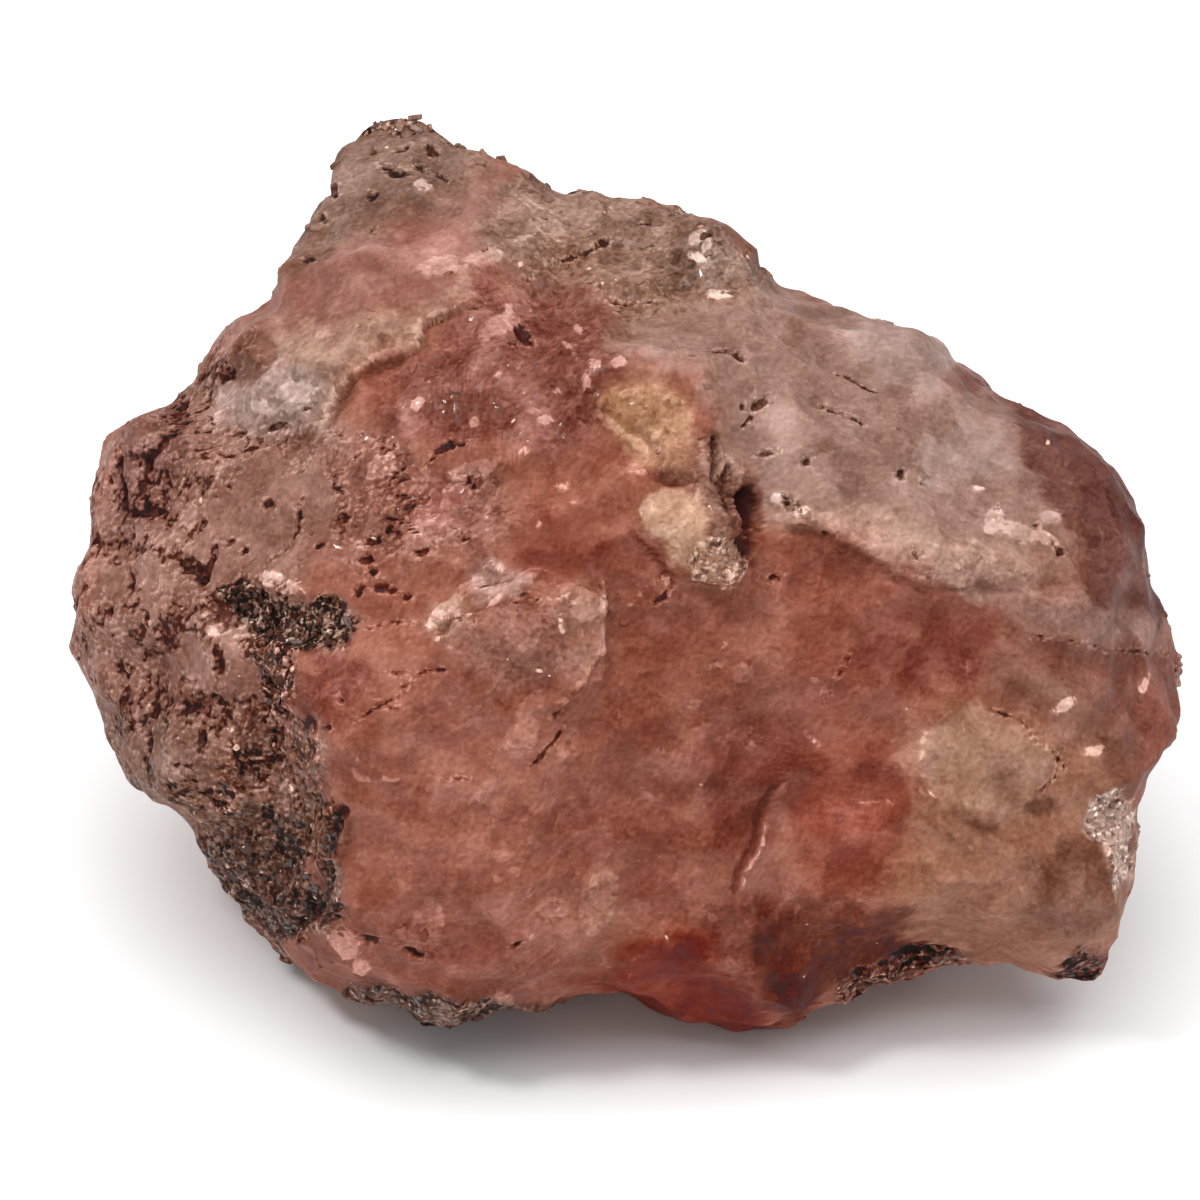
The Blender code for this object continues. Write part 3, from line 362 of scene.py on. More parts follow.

# Pale shards and grains with crisp edges, some of them painted glints: (how much lighter, rise, [(across, up, half
# length, half width, turn)]).
FRONT_SHARDS = {
    "pale grains of the heart": (0.24, 0.1, [(-5.3, 7.5, 0.22, 0.2, 0), (-2.4, 7.5, 0.28, 0.24, 20),
        (-7.6, 8.2, 0.28, 0.24, 0), (-4.3, 9.3, 0.15, 0.12, 0), (-1.9, 8.8, 0.2, 0.17, 0), (-3.8, 12.1, 0.2, 0.17, 0),
        (-0.5, 9, 0.3, 0.18, 80), (-0.2, 9.8, 0.25, 0.2, 0), (0.8, 9.9, 0.3, 0.26, 0), (-3.2, 6.1, 0.25, 0.18, 0),
        (-1.6, 4.7, 0.2, 0.17, 0), (-1.1, 4, 0.18, 0.12, 0), (-1, 11.4, 0.3, 0.1, -40), (-1.4, 10.6, 0.4, 0.08, -50),
        (-6.3, 4.6, 0.22, 0.1, 40), (-4.6, 3.4, 0.16, 0.12, 0), (-2.5, 3.1, 0.14, 0.1, 0)]),
    "milky shards": (0.13, 0.12, [(-4.3, 11.3, 0.95, 0.42, 20), (-5.2, 5.4, 1.2, 0.36, 15), (-9.2, 5.6, 0.7, 0.45, 30),
        (-8.6, 6.3, 0.45, 0.18, 20), (-6.8, 13.9, 0.9, 0.34, 8), (-4.8, 14.2, 0.8, 0.36, 20),
        (-2.9, 15.3, 0.6, 0.3, 35), (-12.6, 8.7, 0.8, 0.45, 10), (-13.9, 8, 0.6, 0.3, -20), (-4.3, 1.6, 0.5, 0.16, -45),
        (-3, 0.9, 0.7, 0.3, 25), (-5.4, 0.6, 0.7, 0.3, 20), (-6.4, -0.5, 0.7, 0.45, 40), (-0.7, -0.4, 0.55, 0.5, 0),
        (-4, 2.6, 0.3, 0.14, 30)]),
    "pale chips": (0.07, 0.08, [(-1.3, -6.1, 0.75, 0.46, 80), (-3.3, -5.7, 0.95, 0.6, 55), (-4.9, -8, 0.72, 0.26, 42),
        (-4.1, -10.6, 0.5, 0.25, -10), (-2, -12.9, 0.66, 0.44, 0), (-7.3, -13.7, 1.1, 0.72, 65),
        (-0.1, -12.6, 1.3, 0.8, 70), (2.2, -8.2, 0.38, 0.14, -25), (5.7, -5.6, 0.9, 0.2, 15),
        (7.6, -7.9, 0.5, 0.24, 70), (5.6, -15.4, 0.9, 0.3, -25), (-2.9, -4.3, 0.7, 0.35, 50), (-7.5, 3.4, 0.6, 0.4, 20),
        (-6.2, 3.9, 0.4, 0.24, -30)]),
    "ovals in the flesh": (0.085, 0.07, [(4, -4.3, 0.36, 0.27, 30), (6, -3.1, 0.46, 0.4, 10),
        (4.8, -2.8, 0.32, 0.22, 10), (6.2, -6, 0.2, 0.2, 0), (15.3, -2.8, 0.32, 0.22, 80), (-2.9, -10, 0.28, 0.2, 70),
        (-3.6, -11.3, 0.22, 0.19, 0), (-4.3, -11.6, 0.2, 0.15, 0), (4.7, -13.3, 0.26, 0.24, 0),
        (-3, -14, 0.24, 0.18, 0), (8.2, -13, 0.24, 0.09, 75), (9.1, -14.4, 0.3, 0.18, -30)]),
    # raised pale grains, and painted glints on the glassy boss, the flake and the crumbly flank
    "pale grains and painted glints": (0.3, 0.1, [(-8.2, 19.7, 0.5, 0.2, 0), (-7.4, 17.2, 0.34, 0.26, 0), (4, 14.9, 0.36, 0.2, 30),
        (4.5, 14.6, 0.22, 0.32, 0), (4.1, 14.2, 0.36, 0.14, -20), (4.9, 12.7, 0.5, 0.18, 10),
        (0.1, -0.1, 0.36, 0.11, 85), (-6.9, -0.9, 0.4, 0.14, 35), (7.3, 4.2, 0.26, 0.2, 0), (8.4, 3.7, 0.3, 0.22, 0),
        (8.9, -5.9, 0.3, 0.09, -40), (19.3, -4.4, 0.46, 0.28, 25), (20.6, -6.3, 0.36, 0.16, 20),
        (13.7, -8.1, 0.32, 0.1, -15), (22.7, -3.6, 0.45, 0.12, 75), (-15.9, -1.3, 0.3, 0.24, 70),
        (2.7, 0.7, 0.16, 0.13, 0), (2.4, -10.7, 0.1, 0.1, 0), (15.7, 4.6, 0.3, 0.13, 0), (-5.3, 7.4, 0.12, 0.1, 0),
        (-15.2, -12, 0.24, 0.1, 20), (-12.2, -9.5, 0.14, 0.12, 0), (-13, -7.8, 0.12, 0.1, 0),
        (-14.3, -11.4, 0.14, 0.1, 0), (-16, -12.7, 0.4, 0.14, -30)]),
    "knob's faces": (0.075, 0.06, [(2, 3.8, 0.46, 0.36, -20), (2.6, 2.9, 0.62, 0.3, 8), (3.1, 1.8, 0.46, 0.36, 60),
        (3.6, 3.6, 0.34, 0.44, 10)]),
    "pale flakes by the honey": (0.13, 0.1, [(0, 8.2, 0.32, 0.17, 60), (0.3, 7.5, 0.46, 0.22, -40),
        (0.9, 7, 0.46, 0.2, -40), (1.6, 6.5, 0.42, 0.18, -35), (1.4, 5.5, 0.26, 0.2, 0), (1.8, 5.3, 0.18, 0.14, 0),
        (1.2, 8.7, 0.5, 0.2, 20), (3, 8.4, 0.4, 0.2, -10), (2.4, 6.9, 0.4, 0.24, 30)]),
    "foot's white crumbs": (0.26, 0.12, [(4, 1.2, 0.24, 0.12, 60), (4.6, 0.7, 0.2, 0.1, -20),
        (5.5, 1.2, 0.26, 0.12, 70), (5.1, 0.5, 0.2, 0.1, 10), (6.5, 2.6, 0.16, 0.07, -20), (4.8, 1.9, 0.14, 0.08, 40)]),
    "cracked chip": (0.16, 0.14, [(16.4, 3.3, 0.55, 0.34, 60), (17.6, 2.8, 0.8, 0.42, -10), (18.9, 3.5, 0.62, 0.3, 8),
        (18.7, 2.5, 0.45, 0.26, -30)]),
    "crumbs at the corner": (0.22, 0.18, [(-10.6, -14.2, 0.8, 0.46, -35), (-9.9, -15.2, 0.42, 0.28, -60),
        (-11.6, -13.6, 0.3, 0.2, 0)]),
    "crust on the mica": (0.25, 0.14, [(-12.9, 0.5, 0.7, 0.3, -8), (-13.8, 0.9, 0.4, 0.26, 20),
        (-14.3, -0.6, 0.3, 0.22, 80)]),
    "pink pebble": (0.1, 0.22, [(-16.5, -0.9, 0.5, 0.46, 0)]),
    "grey bottom crumbs": (0.16, 0.1, [(-5.6, -16.9, 1, 0.3, 0), (-4, -16.6, 0.4, 0.26, 0)]),
}

# Dark pits with crisp edges: (rise, [(across, up, half length, half width, turn)]).
FRONT_PITS = {
    "pits": (-0.22, [(-3.2, 11.1, 0.45, 0.24, -30), (-3.6, 10.7, 0.2, 0.12, 0), (-7.1, 5.8, 0.22, 0.12, 40),
        (-6.7, 6.2, 0.28, 0.14, 30), (-6.2, 6.5, 0.3, 0.16, 20), (-5.7, 6.6, 0.2, 0.13, 0), (-9.8, 1.7, 0.32, 0.22, 0),
        (-9.5, 1.2, 0.26, 0.18, 0), (-9.2, 0.6, 0.3, 0.18, 30), (-10.1, 0.5, 0.28, 0.16, 50), (-8.8, 0.5, 0.2, 0.13, 0),
        (-8.1, 0.2, 0.3, 0.14, -30), (-7.4, 2, 0.26, 0.2, 0), (-9.6, 2.5, 0.26, 0.18, 0), (-11.7, 2.3, 0.2, 0.14, 0),
        (-15.8, -2.5, 0.62, 0.17, 95), (-16.6, -5.8, 0.6, 0.18, 82), (-18.8, -6, 0.52, 0.12, 92),
        (-20.1, -2.8, 0.34, 0.12, 90), (-20.5, -0.5, 0.28, 0.1, 90), (-21, 2.4, 0.44, 0.11, 80),
        (-19.6, 0.8, 0.34, 0.11, 90), (-13.7, 4, 0.28, 0.22, 30), (-16.8, 6.9, 0.16, 0.11, 0),
        (-16.2, 7, 0.16, 0.11, 0), (-15.5, 6, 0.26, 0.18, 0), (-17.2, 4.9, 0.15, 0.11, 0), (-16.4, 5.9, 0.16, 0.1, 0),
        (-13.4, 7.2, 0.38, 0.14, 15), (-12.3, 8, 0.2, 0.15, 0), (-14.1, 6.7, 0.26, 0.12, 110),
        (-14.8, 6.9, 0.16, 0.11, 0), (-8.5, 17.9, 0.52, 0.15, -12), (-9.4, 18.5, 0.2, 0.12, 95),
        (-9.5, 16.9, 0.24, 0.18, 30), (-10.9, 16.9, 0.32, 0.16, 80), (-6.6, 17.7, 0.28, 0.12, -35),
        (-7.5, 18.1, 0.22, 0.13, -40), (-7, 18.7, 0.22, 0.13, -20), (-8.2, 18.8, 0.32, 0.14, 30),
        (-11.5, 15.8, 0.16, 0.13, 0), (-12.2, 14.3, 0.26, 0.13, 0), (-9.5, 15.6, 0.13, 0.1, 0),
        (5, 10.4, 0.36, 0.16, -5), (5.7, 10.1, 0.34, 0.15, -40), (6.7, 8.2, 0.36, 0.18, 22), (6, 8, 0.16, 0.13, 0),
        (8.6, 5.8, 0.22, 0.14, 0), (7, 6, 0.34, 0.08, 15), (12.5, 5.2, 0.2, 0.12, 80), (13.3, 4.8, 0.12, 0.11, 0),
        (7.7, 4.1, 0.3, 0.17, 110), (8.3, 3.8, 0.26, 0.13, 80), (13.2, 1.8, 0.2, 0.11, -20), (13.7, 1.1, 0.2, 0.06, 0),
        (9.5, 2.7, 0.2, 0.08, 0), (19.1, 2, 0.18, 0.16, 0), (-12.2, -5.2, 0.4, 0.24, 0), (-11.5, -5.3, 0.2, 0.12, -30),
        (-1.8, -4.8, 0.26, 0.13, 20), (-7.8, -14.7, 0.44, 0.18, -25), (-9.5, -14.1, 0.36, 0.2, 0),
        (-15.4, 2.4, 0.2, 0.12, 30), (2.6, 0.2, 0.34, 0.13, 40), (0.2, 15, 0.22, 0.15, 0), (7.3, 0.9, 0.22, 0.12, 30),
        (-3.5, -14.3, 0.22, 0.09, 20), (5.2, -1.9, 0.14, 0.08, 0), (-14.9, 2, 0.2, 0.13, 60)]),
}

# Seams on the display face: (shade, strength, half width, rise, [paths of (across, up)]).  Several are grooves with a
# painted shadow beside a ledge or lip.
FRONT_SEAMS = {
    # a groove with a painted shadow under the shelf's lip
    "painted shadow under the shelf's lip": ("rust", 0.6, 0.12, -0.22, [[(-5.3, 12.3), (-7.2, 11.5), (-7.5, 10.6), (-8.4, 10.1),
        (-9.1, 9.8), (-10.4, 9), (-10.9, 8.3), (-11.3, 7.3)]]),
    # a groove with a painted shadow under the lip
    "painted shadow under the lip": ("dark mauve", 0.26, 0.12, -0.14, [[(7.8, 2.9), (9.5, 2.6), (10.3, 2.2), (11.6, 1.4), (12.5, 0.6),
        (13.4, 0.4), (14.9, 0.5), (17.4, 0.4)]]),
    "flake's shadow": ("deep red", 0.6, 0.11, -0.16, [[(0.45, -0.7), (0.36, -2.1), (-0.25, -3.3), (-1, -4.3),
        (-1.6, -4.7)]]),
    "shade under the ridge": ("dark mauve", 0.42, 0.15, -0.12, [[(-6.6, -1.3), (-5.8, -0.6), (-4.8, -0.1), (-3.4, 0),
        (-2.4, -0.3)]]),
    "beside the splinter": ("dark mauve", 0.6, 0.16, -0.14, [[(5.6, -12), (5.8, -11.1), (6.3, -10.3), (6.7, -9),
        (7.1, -7.9)]]),
    "pale strip of the side": ("pebble", 0.6, 0.28, 0, [[(-20, 6.9), (-20.6, 5.4), (-20.9, 3.3), (-21.2, 0.6),
        (-21.5, -0.6)]]),
    "rusty crevice": ("pit brown", 0.75, 0.26, -0.4, [[(-10.7, -8.8), (-11.3, -10.2), (-11.4, -11.4), (-11.8, -12.7),
        (-13, -13.9)]]),
    "rust beside the crevice": ("rust", 0.55, 0.24, 0, [[(-10.4, -9.4), (-10.8, -11), (-11, -12.6), (-11.6, -13.6)]]),
    "knob's facets": ("tan", 0.45, 0.07, -0.05, [[(1.6, 2.9), (2.4, 2.6), (3.2, 2.2)], [(2.9, 3.2), (3.4, 2.3),
        (4.3, 2.6)], [(2.7, 1.6), (3.4, 2.2)]]),
    "shadow round the knob": ("dark mauve", 0.55, 0.11, -0.14, [[(1.3, 2.8), (2, 2.1), (2.6, 1.2), (3, 0.8)],
        [(2.5, 1), (3.4, 0.1)]]),
}

# Pale edges with crisp borders, some of them painted highlights: (how much lighter, half width, rise, [paths]).
FRONT_EDGES = {
    "shelf's lip": (0.12, 0.13, 0.14, [[(-5.2, 12.8), (-6.2, 12.1), (-7.4, 11.9), (-7.8, 10.8), (-8.4, 10.5),
        (-9.2, 10.1), (-10.6, 9.3), (-11.1, 8.6), (-11.5, 7.5), (-12.5, 7)]]),
    "lit lip": (0.06, 0.22, 0.08, [[(9.8, 3.2), (11.4, 2.1), (12.6, 1.2), (13.6, 0.9), (15, 1), (17.4, 1)],
        [(7.4, 3.5), (8.8, 3.4), (9.8, 3.6)]]),
    "flake's crescent": (0.12, 0.08, 0.12, [[(0.1, 0.6), (0.2, -0.8), (0.1, -2), (-0.5, -3.1), (-1.2, -4.1),
        (-2.2, -4.6), (-2.9, -4.6)]]),
    "chalky ridge": (0.07, 0.22, 0.14, [[(-7, -0.9), (-6.3, -0.1), (-5.2, 0.4), (-4, 0.5), (-2.7, 1)], [(-2.4, 0.7),
        (-1.2, 0.5), (-0.4, 0)]]),
    # painted highlights along the chalky ridge's folds, with one painted glint
    "painted highlights on the folds": (0.3, 0.05, 0.12, [[(-5.6, -0.7), (-5.1, -0.6), (-4.6, -0.1)], [(-4.5, 0), (-3.9, 0.5), (-3.5, 0.6),
        (-3.2, 0.9)], [(-6.8, -1.6), (-6.2, -1.6), (-5.7, -1.2)], [(-2.2, 0.1), (-1.7, -0.1), (-1.4, 0.2)],
        [(0.05, -0.1), (0.12, -0.7)], [(-4.9, 1.5), (-4, 1.2)], [(-1.7, -0.6), (-1.5, -1.3)]]),
    "pale hairs": (0.15, 0.06, 0.04, [[(-10.2, -7.5), (-8.9, -7.4), (-7.6, -7.4)], [(-6.6, -12.7), (-6.5, -13.4),
        (-6.8, -14.2)], [(2.1, -14.5), (1.4, -15.2), (0.9, -15.8)], [(1.2, -0.3), (1.8, 0.3), (2.4, 0.9)],
        [(13.5, -5.4), (13.4, -6.6), (13.3, -7.9)], [(9.1, -4.2), (9.7, -3.1), (10.2, -2.2)], [(11, -8.4),
        (12.4, -8.5)], [(-10.3, -7.4), (-10.1, -6.4)]]),
    "splinter's lit edge": (0.26, 0.045, 0.12, [[(5.9, -12), (6.1, -11.2), (6.6, -10.4), (6.9, -9.4)]]),
    "columns by the honey": (0.06, 0.24, 0.1, [[(4.3, 6.4), (4.4, 5.2), (4.2, 4.4)], [(5.6, 5.8), (5.7, 4.8),
        (5.6, 4.1)]]),
}

# Dark cracks with crisp borders: (half width, rise, [paths]).
FRONT_CRACKS = {
    "cracks of the side": (0.13, -0.22, [[(-17.4, 8.2), (-17.5, 7.3), (-17.9, 6.6), (-18.6, 6.1), (-19, 5.6),
        (-19.1, 4.9), (-18.8, 4.1)], [(-17.6, 6.9), (-18.2, 6.6)], [(-19.5, 3.6), (-18.7, 3.7), (-18, 3.4),
        (-17.7, 3.6)], [(-19.8, 2.8), (-19.3, 2.5), (-18.8, 2.6)], [(-20.2, 6.2), (-19.9, 5), (-19.8, 3.8)],
        [(-17.8, 1.6), (-17.3, 1.2), (-17, 1.2), (-16.7, 0.6), (-16.4, 0.3), (-15.6, -0.5)], [(-16, 2.3), (-16.2, 1.7),
        (-16.5, 1.2), (-16.4, 0.5)], [(-17.8, 1.9), (-17.3, 1.9), (-16.9, 1.4)], [(-19, -0.6), (-18.9, -1.5)]]),
    "ridge's folds": (0.045, -0.1, [[(-6.4, -0.6), (-5.7, -0.9), (-5.2, -0.9)], [(-5, 0.5), (-4.3, 0.8)], [(-3.3, 0.3),
        (-2.6, 0.1)], [(-1.5, 0.1), (-1, -0.3)], [(-3.5, 0), (-3.45, -0.5)]]),
    "hairlines": (0.05, -0.08, [[(-12.4, 4.5), (-12.6, 3.6), (-12.7, 2.8), (-13.1, 2.2), (-14, 1.5), (-14.2, 0.6)],
        [(-18.8, -1.5), (-17.2, -1.3), (-15.7, -1.2)], [(-6.6, -7.5), (-5.9, -7.4), (-5.4, -7.4)], [(18, -1.6),
        (19.5, -1.7), (21.4, -2.1), (23.6, -2.2)], [(-7.7, -1), (-8.7, -0.8), (-9.6, -1.2)], [(16.3, -4.5), (17.5, -5),
        (18.1, -5.8), (19.1, -6.5), (19.3, -6.9), (18.3, -7.9)], [(-8.9, 3.4), (-8, 3.2), (-7.4, 2.6)], [(-3, -7),
        (-1.9, -5.9), (-1.5, -5.3)]]),
    "fissures": (0.05, -0.16, [[(-10.2, -5.1), (-9.2, -4.4), (-8.5, -4.1), (-8, -3.6)], [(-9.5, -3.9), (-9.2, -4.4),
        (-8.3, -4.5)], [(-8.3, -3.6), (-7.4, -3), (-6.5, -2.9)], [(-11, -3.8), (-10.7, -4.3)], [(9.8, 9.4), (10.5, 9),
        (11.5, 8.6)], [(9.3, 8.2), (10.2, 7.8), (11, 7.3)], [(16.6, 4), (16.5, 3.3)], [(18.2, 3.2), (18.6, 2.8),
        (18.7, 2.3)], [(9.3, -4.4), (9.9, -3.2), (10.4, -2.4)], [(-3.1, 13.2), (-1.9, 14), (-0.7, 14.4), (0.1, 14.9)],
        [(-0.5, 13.2), (0.6, 12.4), (2.3, 12.3)], [(1.5, 15.6), (2.6, 15.6)], [(5.9, 7.2), (6.4, 7.7)], [(-8.1, -3.1),
        (-8.9, -3)]]),
    "strata of the underside": (0.1, -0.12, [[(10.4, -15.8), (12, -15.3), (13.8, -15)], [(10.6, -15.3), (12.2, -14.8),
        (14.6, -14.7)]]),
}

# The back's marks, laid out in the same ways.
BACK_WASHES = {
    "rose wall": ("bright rose", 0.55, 1.6, (0.2, 0.05, 0), [(-8, 9), (2, 11), (9, 7), (8, -3), (0, -6), (-8, -2)]),
    "dusty flank": ("dusty rose", 0.9, 1.6, (0.7, 0.5, 0.08), [(9, 13), (24, 8), (26, -6), (17, -9), (12, -1),
        (10, 6)]),
    "pale back shoulder": ("pale flesh", 0.9, 0.8, (0.4, 0.15, 0), [(-24, 9), (-13, 14), (-7, 11), (-6, 6), (-10, 2),
        (-17, 0.5), (-24, 1)]),
    "beige crown": ("beige", 0.92, 0.7, (0.8, 0.22, 0.05), [(-13, 22), (-2, 21), (8, 18), (5, 12.4), (-1, 11),
        (-9, 13)]),
    "deep red back window": ("deep red", 0.88, 0.7, (0.12, 0, 0), [(-18, -1), (-11, 1), (-8, -3), (-10, -8),
        (-17, -8)]),
    "amber back heel": ("buff", 0.9, 0.8, (0.3, 0.03, 0), [(3, -6), (10, -3), (15, -7), (13, -14), (5, -17), (1, -12)]),
    "honey back patch": ("honey", 0.7, 0.6, (0.6, 0.1, 0), [(3.4, 6.2), (6.6, 6.6), (8, 3.8), (6, 1.6), (3.4, 2.6)]),
    "mica back seam": ("mica brown", 0.9, 0.4, (1, 0.45, 0.95), [(10, 9.4), (13.4, 8.6), (14.4, 3), (12.6, -4),
        (11, -3.6), (11.6, 3), (10.2, 6.6)]),
    "smoky back foot": ("smoke", 0.85, 0.7, (0.9, 0.3, 0.5), [(-13, -9), (-5, -7), (-1, -12), (-5, -17), (-14, -16)]),
    "mauve back hollow": ("mauve", 0.75, 0.7, (0.12, 0, 0), [(-4, 8.6), (1, 9.6), (3, 7), (-1, 4.4), (-3.6, 5.4)]),
}
BACK_SHARDS = {
    "back milky shards": (0.13, 0.12, [(-6, 0.6, 1.4, 0.5, 20), (-2.6, -2.4, 1, 0.4, -30), (4.4, 8.4, 1.1, 0.4, 10),
        (-13.6, 4.6, 1.2, 0.6, 15), (16.2, 2, 0.9, 0.4, 60), (7.2, -9.4, 1, 0.5, 0)]),
    "back ovals": (0.08, 0.08, [(-1.4, 1.6, 0.5, 0.4, 0), (1.8, -0.6, 0.4, 0.3, 40), (3.6, 0.8, 0.3, 0.26, 0),
        (-4.2, 3.8, 0.4, 0.3, 0), (-13, -3, 0.5, 0.3, 20), (0.4, -3.6, 0.36, 0.28, 0)]),
}
BACK_PITS = {
    "back pits": (-0.24, [(14.2, 6, 0.6, 0.24, 60), (16.4, 4.6, 0.4, 0.2, 20), (17.8, -1.2, 0.7, 0.3, 80),
        (15, -4.4, 0.5, 0.2, 40), (-11, 9.4, 0.5, 0.2, -20), (-8.4, 15, 0.5, 0.24, 10), (-3, 16.4, 0.4, 0.2, -30),
        (5, 4, 0.5, 0.24, 0), (-16, 1.2, 0.5, 0.3, 70)]),
}
BACK_CRACKS = {
    "back cracks": (0.16, -0.24, [[(-9, -4.2), (-5, -1.6), (-1, 0.2), (1.2, 3.4), (3, 6.8)], [(10.4, 8.2), (12, 4.4),
        (12.2, 1), (10.6, -5.6)], [(-12.2, 9.2), (-10.4, 6.6), (-9.6, 4)]]),
    "back hairlines": (0.07, -0.08, [[(-7, 7.6), (-3.4, 8.8), (0.6, 12)], [(2, -4), (5, -7.4), (6, -11.6)],
        [(-18, 4), (-14.6, 2.2), (-12.2, 2.6)]]),
}

# ---- random fields
def lattice_random(cells, seed):
    """Three numbers from -1 to 1 for each whole-numbered cell, the same ones on every run."""
    mix = (cells[..., 0] * 73856093) ^ (cells[..., 1] * 19349663) ^ (cells[..., 2] * 83492791) ^ (seed * 2654435761)
    found = []
    for _ in range(3):
        mix = (mix ^ (mix >> 15)) * 2246822519 & 0xFFFFFFFF
        mix = (mix ^ (mix >> 13)) * 3266489917 & 0xFFFFFFFF
        found.append((mix & 0xFFFFF) / 0x7FFFF - 1.0)
    return np.stack(found, axis=-1)


def corner_offsets(reach):
    """Every whole-numbered step within the reach: 0 to 1 for (0, 1), or -1 to 1 for (-1, 0, 1)."""
    return np.array([(i, j, k) for i in reach for j in reach for k in reach])


def smooth_noise(points, size, seed):
    """Gradient noise from about -1 to 1: random slopes at lattice corners, blended by a quintic ease."""
    scaled = points / size
    base = np.floor(scaled).astype(np.int64)
    inside = scaled - base
    ease = inside**3 * (inside * (inside * 6 - 15) + 10)
    total = np.zeros(len(points))
    for offset in corner_offsets((0, 1)):
        slopes = lattice_random(base + offset, seed)
        share = np.prod(np.where(offset, ease, 1 - ease), axis=1)
        total += share * ((inside - offset) * slopes).sum(axis=1)
    return 1.6 * total


def broken_flats(points, size, tilt, seed):
    """A field of broken flats with sharp arrises between them: (height, each flat's own lots, way to the arris).

    Each lattice cell holds one shallow dish, tilted and set at a level of its own, and the lowest dish wins:
    height = size * min(level + slope . away + DISH * away^2), with away measured in cells.  The way to the
    nearest arris is about the gap between the two lowest dishes, over DISH, in millimetres.
    """
    scaled = points / size
    base = np.floor(scaled).astype(np.int64)
    dishes, lots = [], []
    for offset in corner_offsets((-1, 0, 1)):
        cell = base + offset
        away = scaled - (cell + 0.5 + SCATTER * lattice_random(cell, seed))
        slopes = lattice_random(cell, seed + 101)
        level = lattice_random(cell, seed + 202)
        dishes.append(tilt * ((away * slopes).sum(axis=1) + 0.4 * level[:, 0]) + DISH * (away**2).sum(axis=1))
        lots.append(level)
    stack = np.stack(dishes)
    winner = stack.argmin(axis=0)[None, :, None]
    lots = np.take_along_axis(np.stack(lots), winner, axis=0)[0]
    lowest, second = np.partition(stack, 1, axis=0)[:2]
    least = stack * -ARRIS
    most = least.max(axis=0)
    height = size * (MEAN_DISH - (most + np.log(np.exp(least - most).sum(axis=0))) / ARRIS)
    return height, lots, size * (second - lowest) / DISH


# ---- the lump's form
def outline_radius(angle):
    """Distance from the face's middle to its outline in each direction, by a smooth cubic through OUTLINE."""
    corners = np.array(OUTLINE)
    turn = np.unwrap(np.arctan2(corners[:, 1], corners[:, 0]))
    reach = np.hypot(corners[:, 0], corners[:, 1])
    turn = np.concatenate([turn[-2:] - 2 * np.pi, turn, turn[:3] + 2 * np.pi])
    reach = np.concatenate([reach[-2:], reach, reach[:3]])
    slope = np.gradient(reach, turn)
    first = turn[2]
    at = (angle - first) % (2 * np.pi) + first
    i = np.clip(np.searchsorted(turn, at, side="right") - 1, 0, len(turn) - 2)
    span = turn[i + 1] - turn[i]
    t = (at - turn[i]) / span
    return (
        reach[i] * (2 * t**3 - 3 * t**2 + 1)
        + slope[i] * span * (t**3 - 2 * t**2 + t)
        + reach[i + 1] * (3 * t**2 - 2 * t**3)
        + slope[i + 1] * span * (t**3 - t**2)
    )


def lowest_of(heights):
    """The lowest of several heights, with the edge between two of them rounded by EDGE_SOFTNESS."""
    stack = np.stack(heights) / -EDGE_SOFTNESS
    most = stack.max(axis=0)
    return -EDGE_SOFTNESS * (most + np.log(np.exp(stack - most).sum(axis=0)))


def in_ellipse(across, up, at_across, at_up, half_length, half_width, turn):
    """Where the points lie in a turned ellipse's own two directions, each in half widths from its middle."""
    c, s = math.cos(math.radians(turn)), math.sin(math.radians(turn))
    x, y = across - at_across, up - at_up
    return (x * c + y * s) / half_length, (y * c - x * s) / half_width


def lump_heights(across, up, lumps):
    """Sum of the mounds: rise times exp(-(distance in half widths) to the power of twice the squareness)."""
    total = np.zeros(len(across))
    for *ellipse, rise, squareness in lumps.values():
        along, beside = in_ellipse(across, up, *ellipse)
        total += rise * np.exp(-((along**2 + beside**2) ** squareness))
    return total


def path_distance(across, up, path):
    """(distance to a path of points, +1 on its left or -1 on its right, how far along it from 0 to 1)."""
    corners = np.array(path, float)
    lengths = np.hypot(*np.diff(corners, axis=0).T)
    nearest = np.full(len(across), np.inf)
    side = np.ones(len(across))
    along = np.zeros(len(across))
    walked = 0.0
    for start, end, length in zip(corners[:-1], corners[1:], lengths):
        way = (end - start) / length
        x, y = across - start[0], up - start[1]
        t = x * way[0] + y * way[1]
        held = np.clip(t, 0, length)
        far = np.hypot(x - held * way[0], y - held * way[1])
        closer = far < nearest
        nearest = np.where(closer, far, nearest)
        side = np.where(closer, np.sign(way[0] * y - way[1] * x + 1e-9), side)
        along = np.where(closer, (walked + t) / lengths.sum(), along)
        walked += length
    return nearest, side, along


def ledge_heights(across, up, ledges):
    """Sum of the steps: the ground drops at once beyond the path and comes back over the reach."""
    total = np.zeros(len(across))
    for path, drop, reach in ledges.values():
        far, side, along = path_distance(across, up, path)
        signed = far * side * np.sign(drop)
        fade = np.clip(np.minimum(along, 1 - along) * 5 + 0.6, 0, 1)
        edge = 1 / (1 + np.exp(np.clip(signed / LEDGE_EDGE, -40, 40)))
        total -= abs(drop) * edge * np.exp(-((far / reach) ** 2)) * fade
    return total


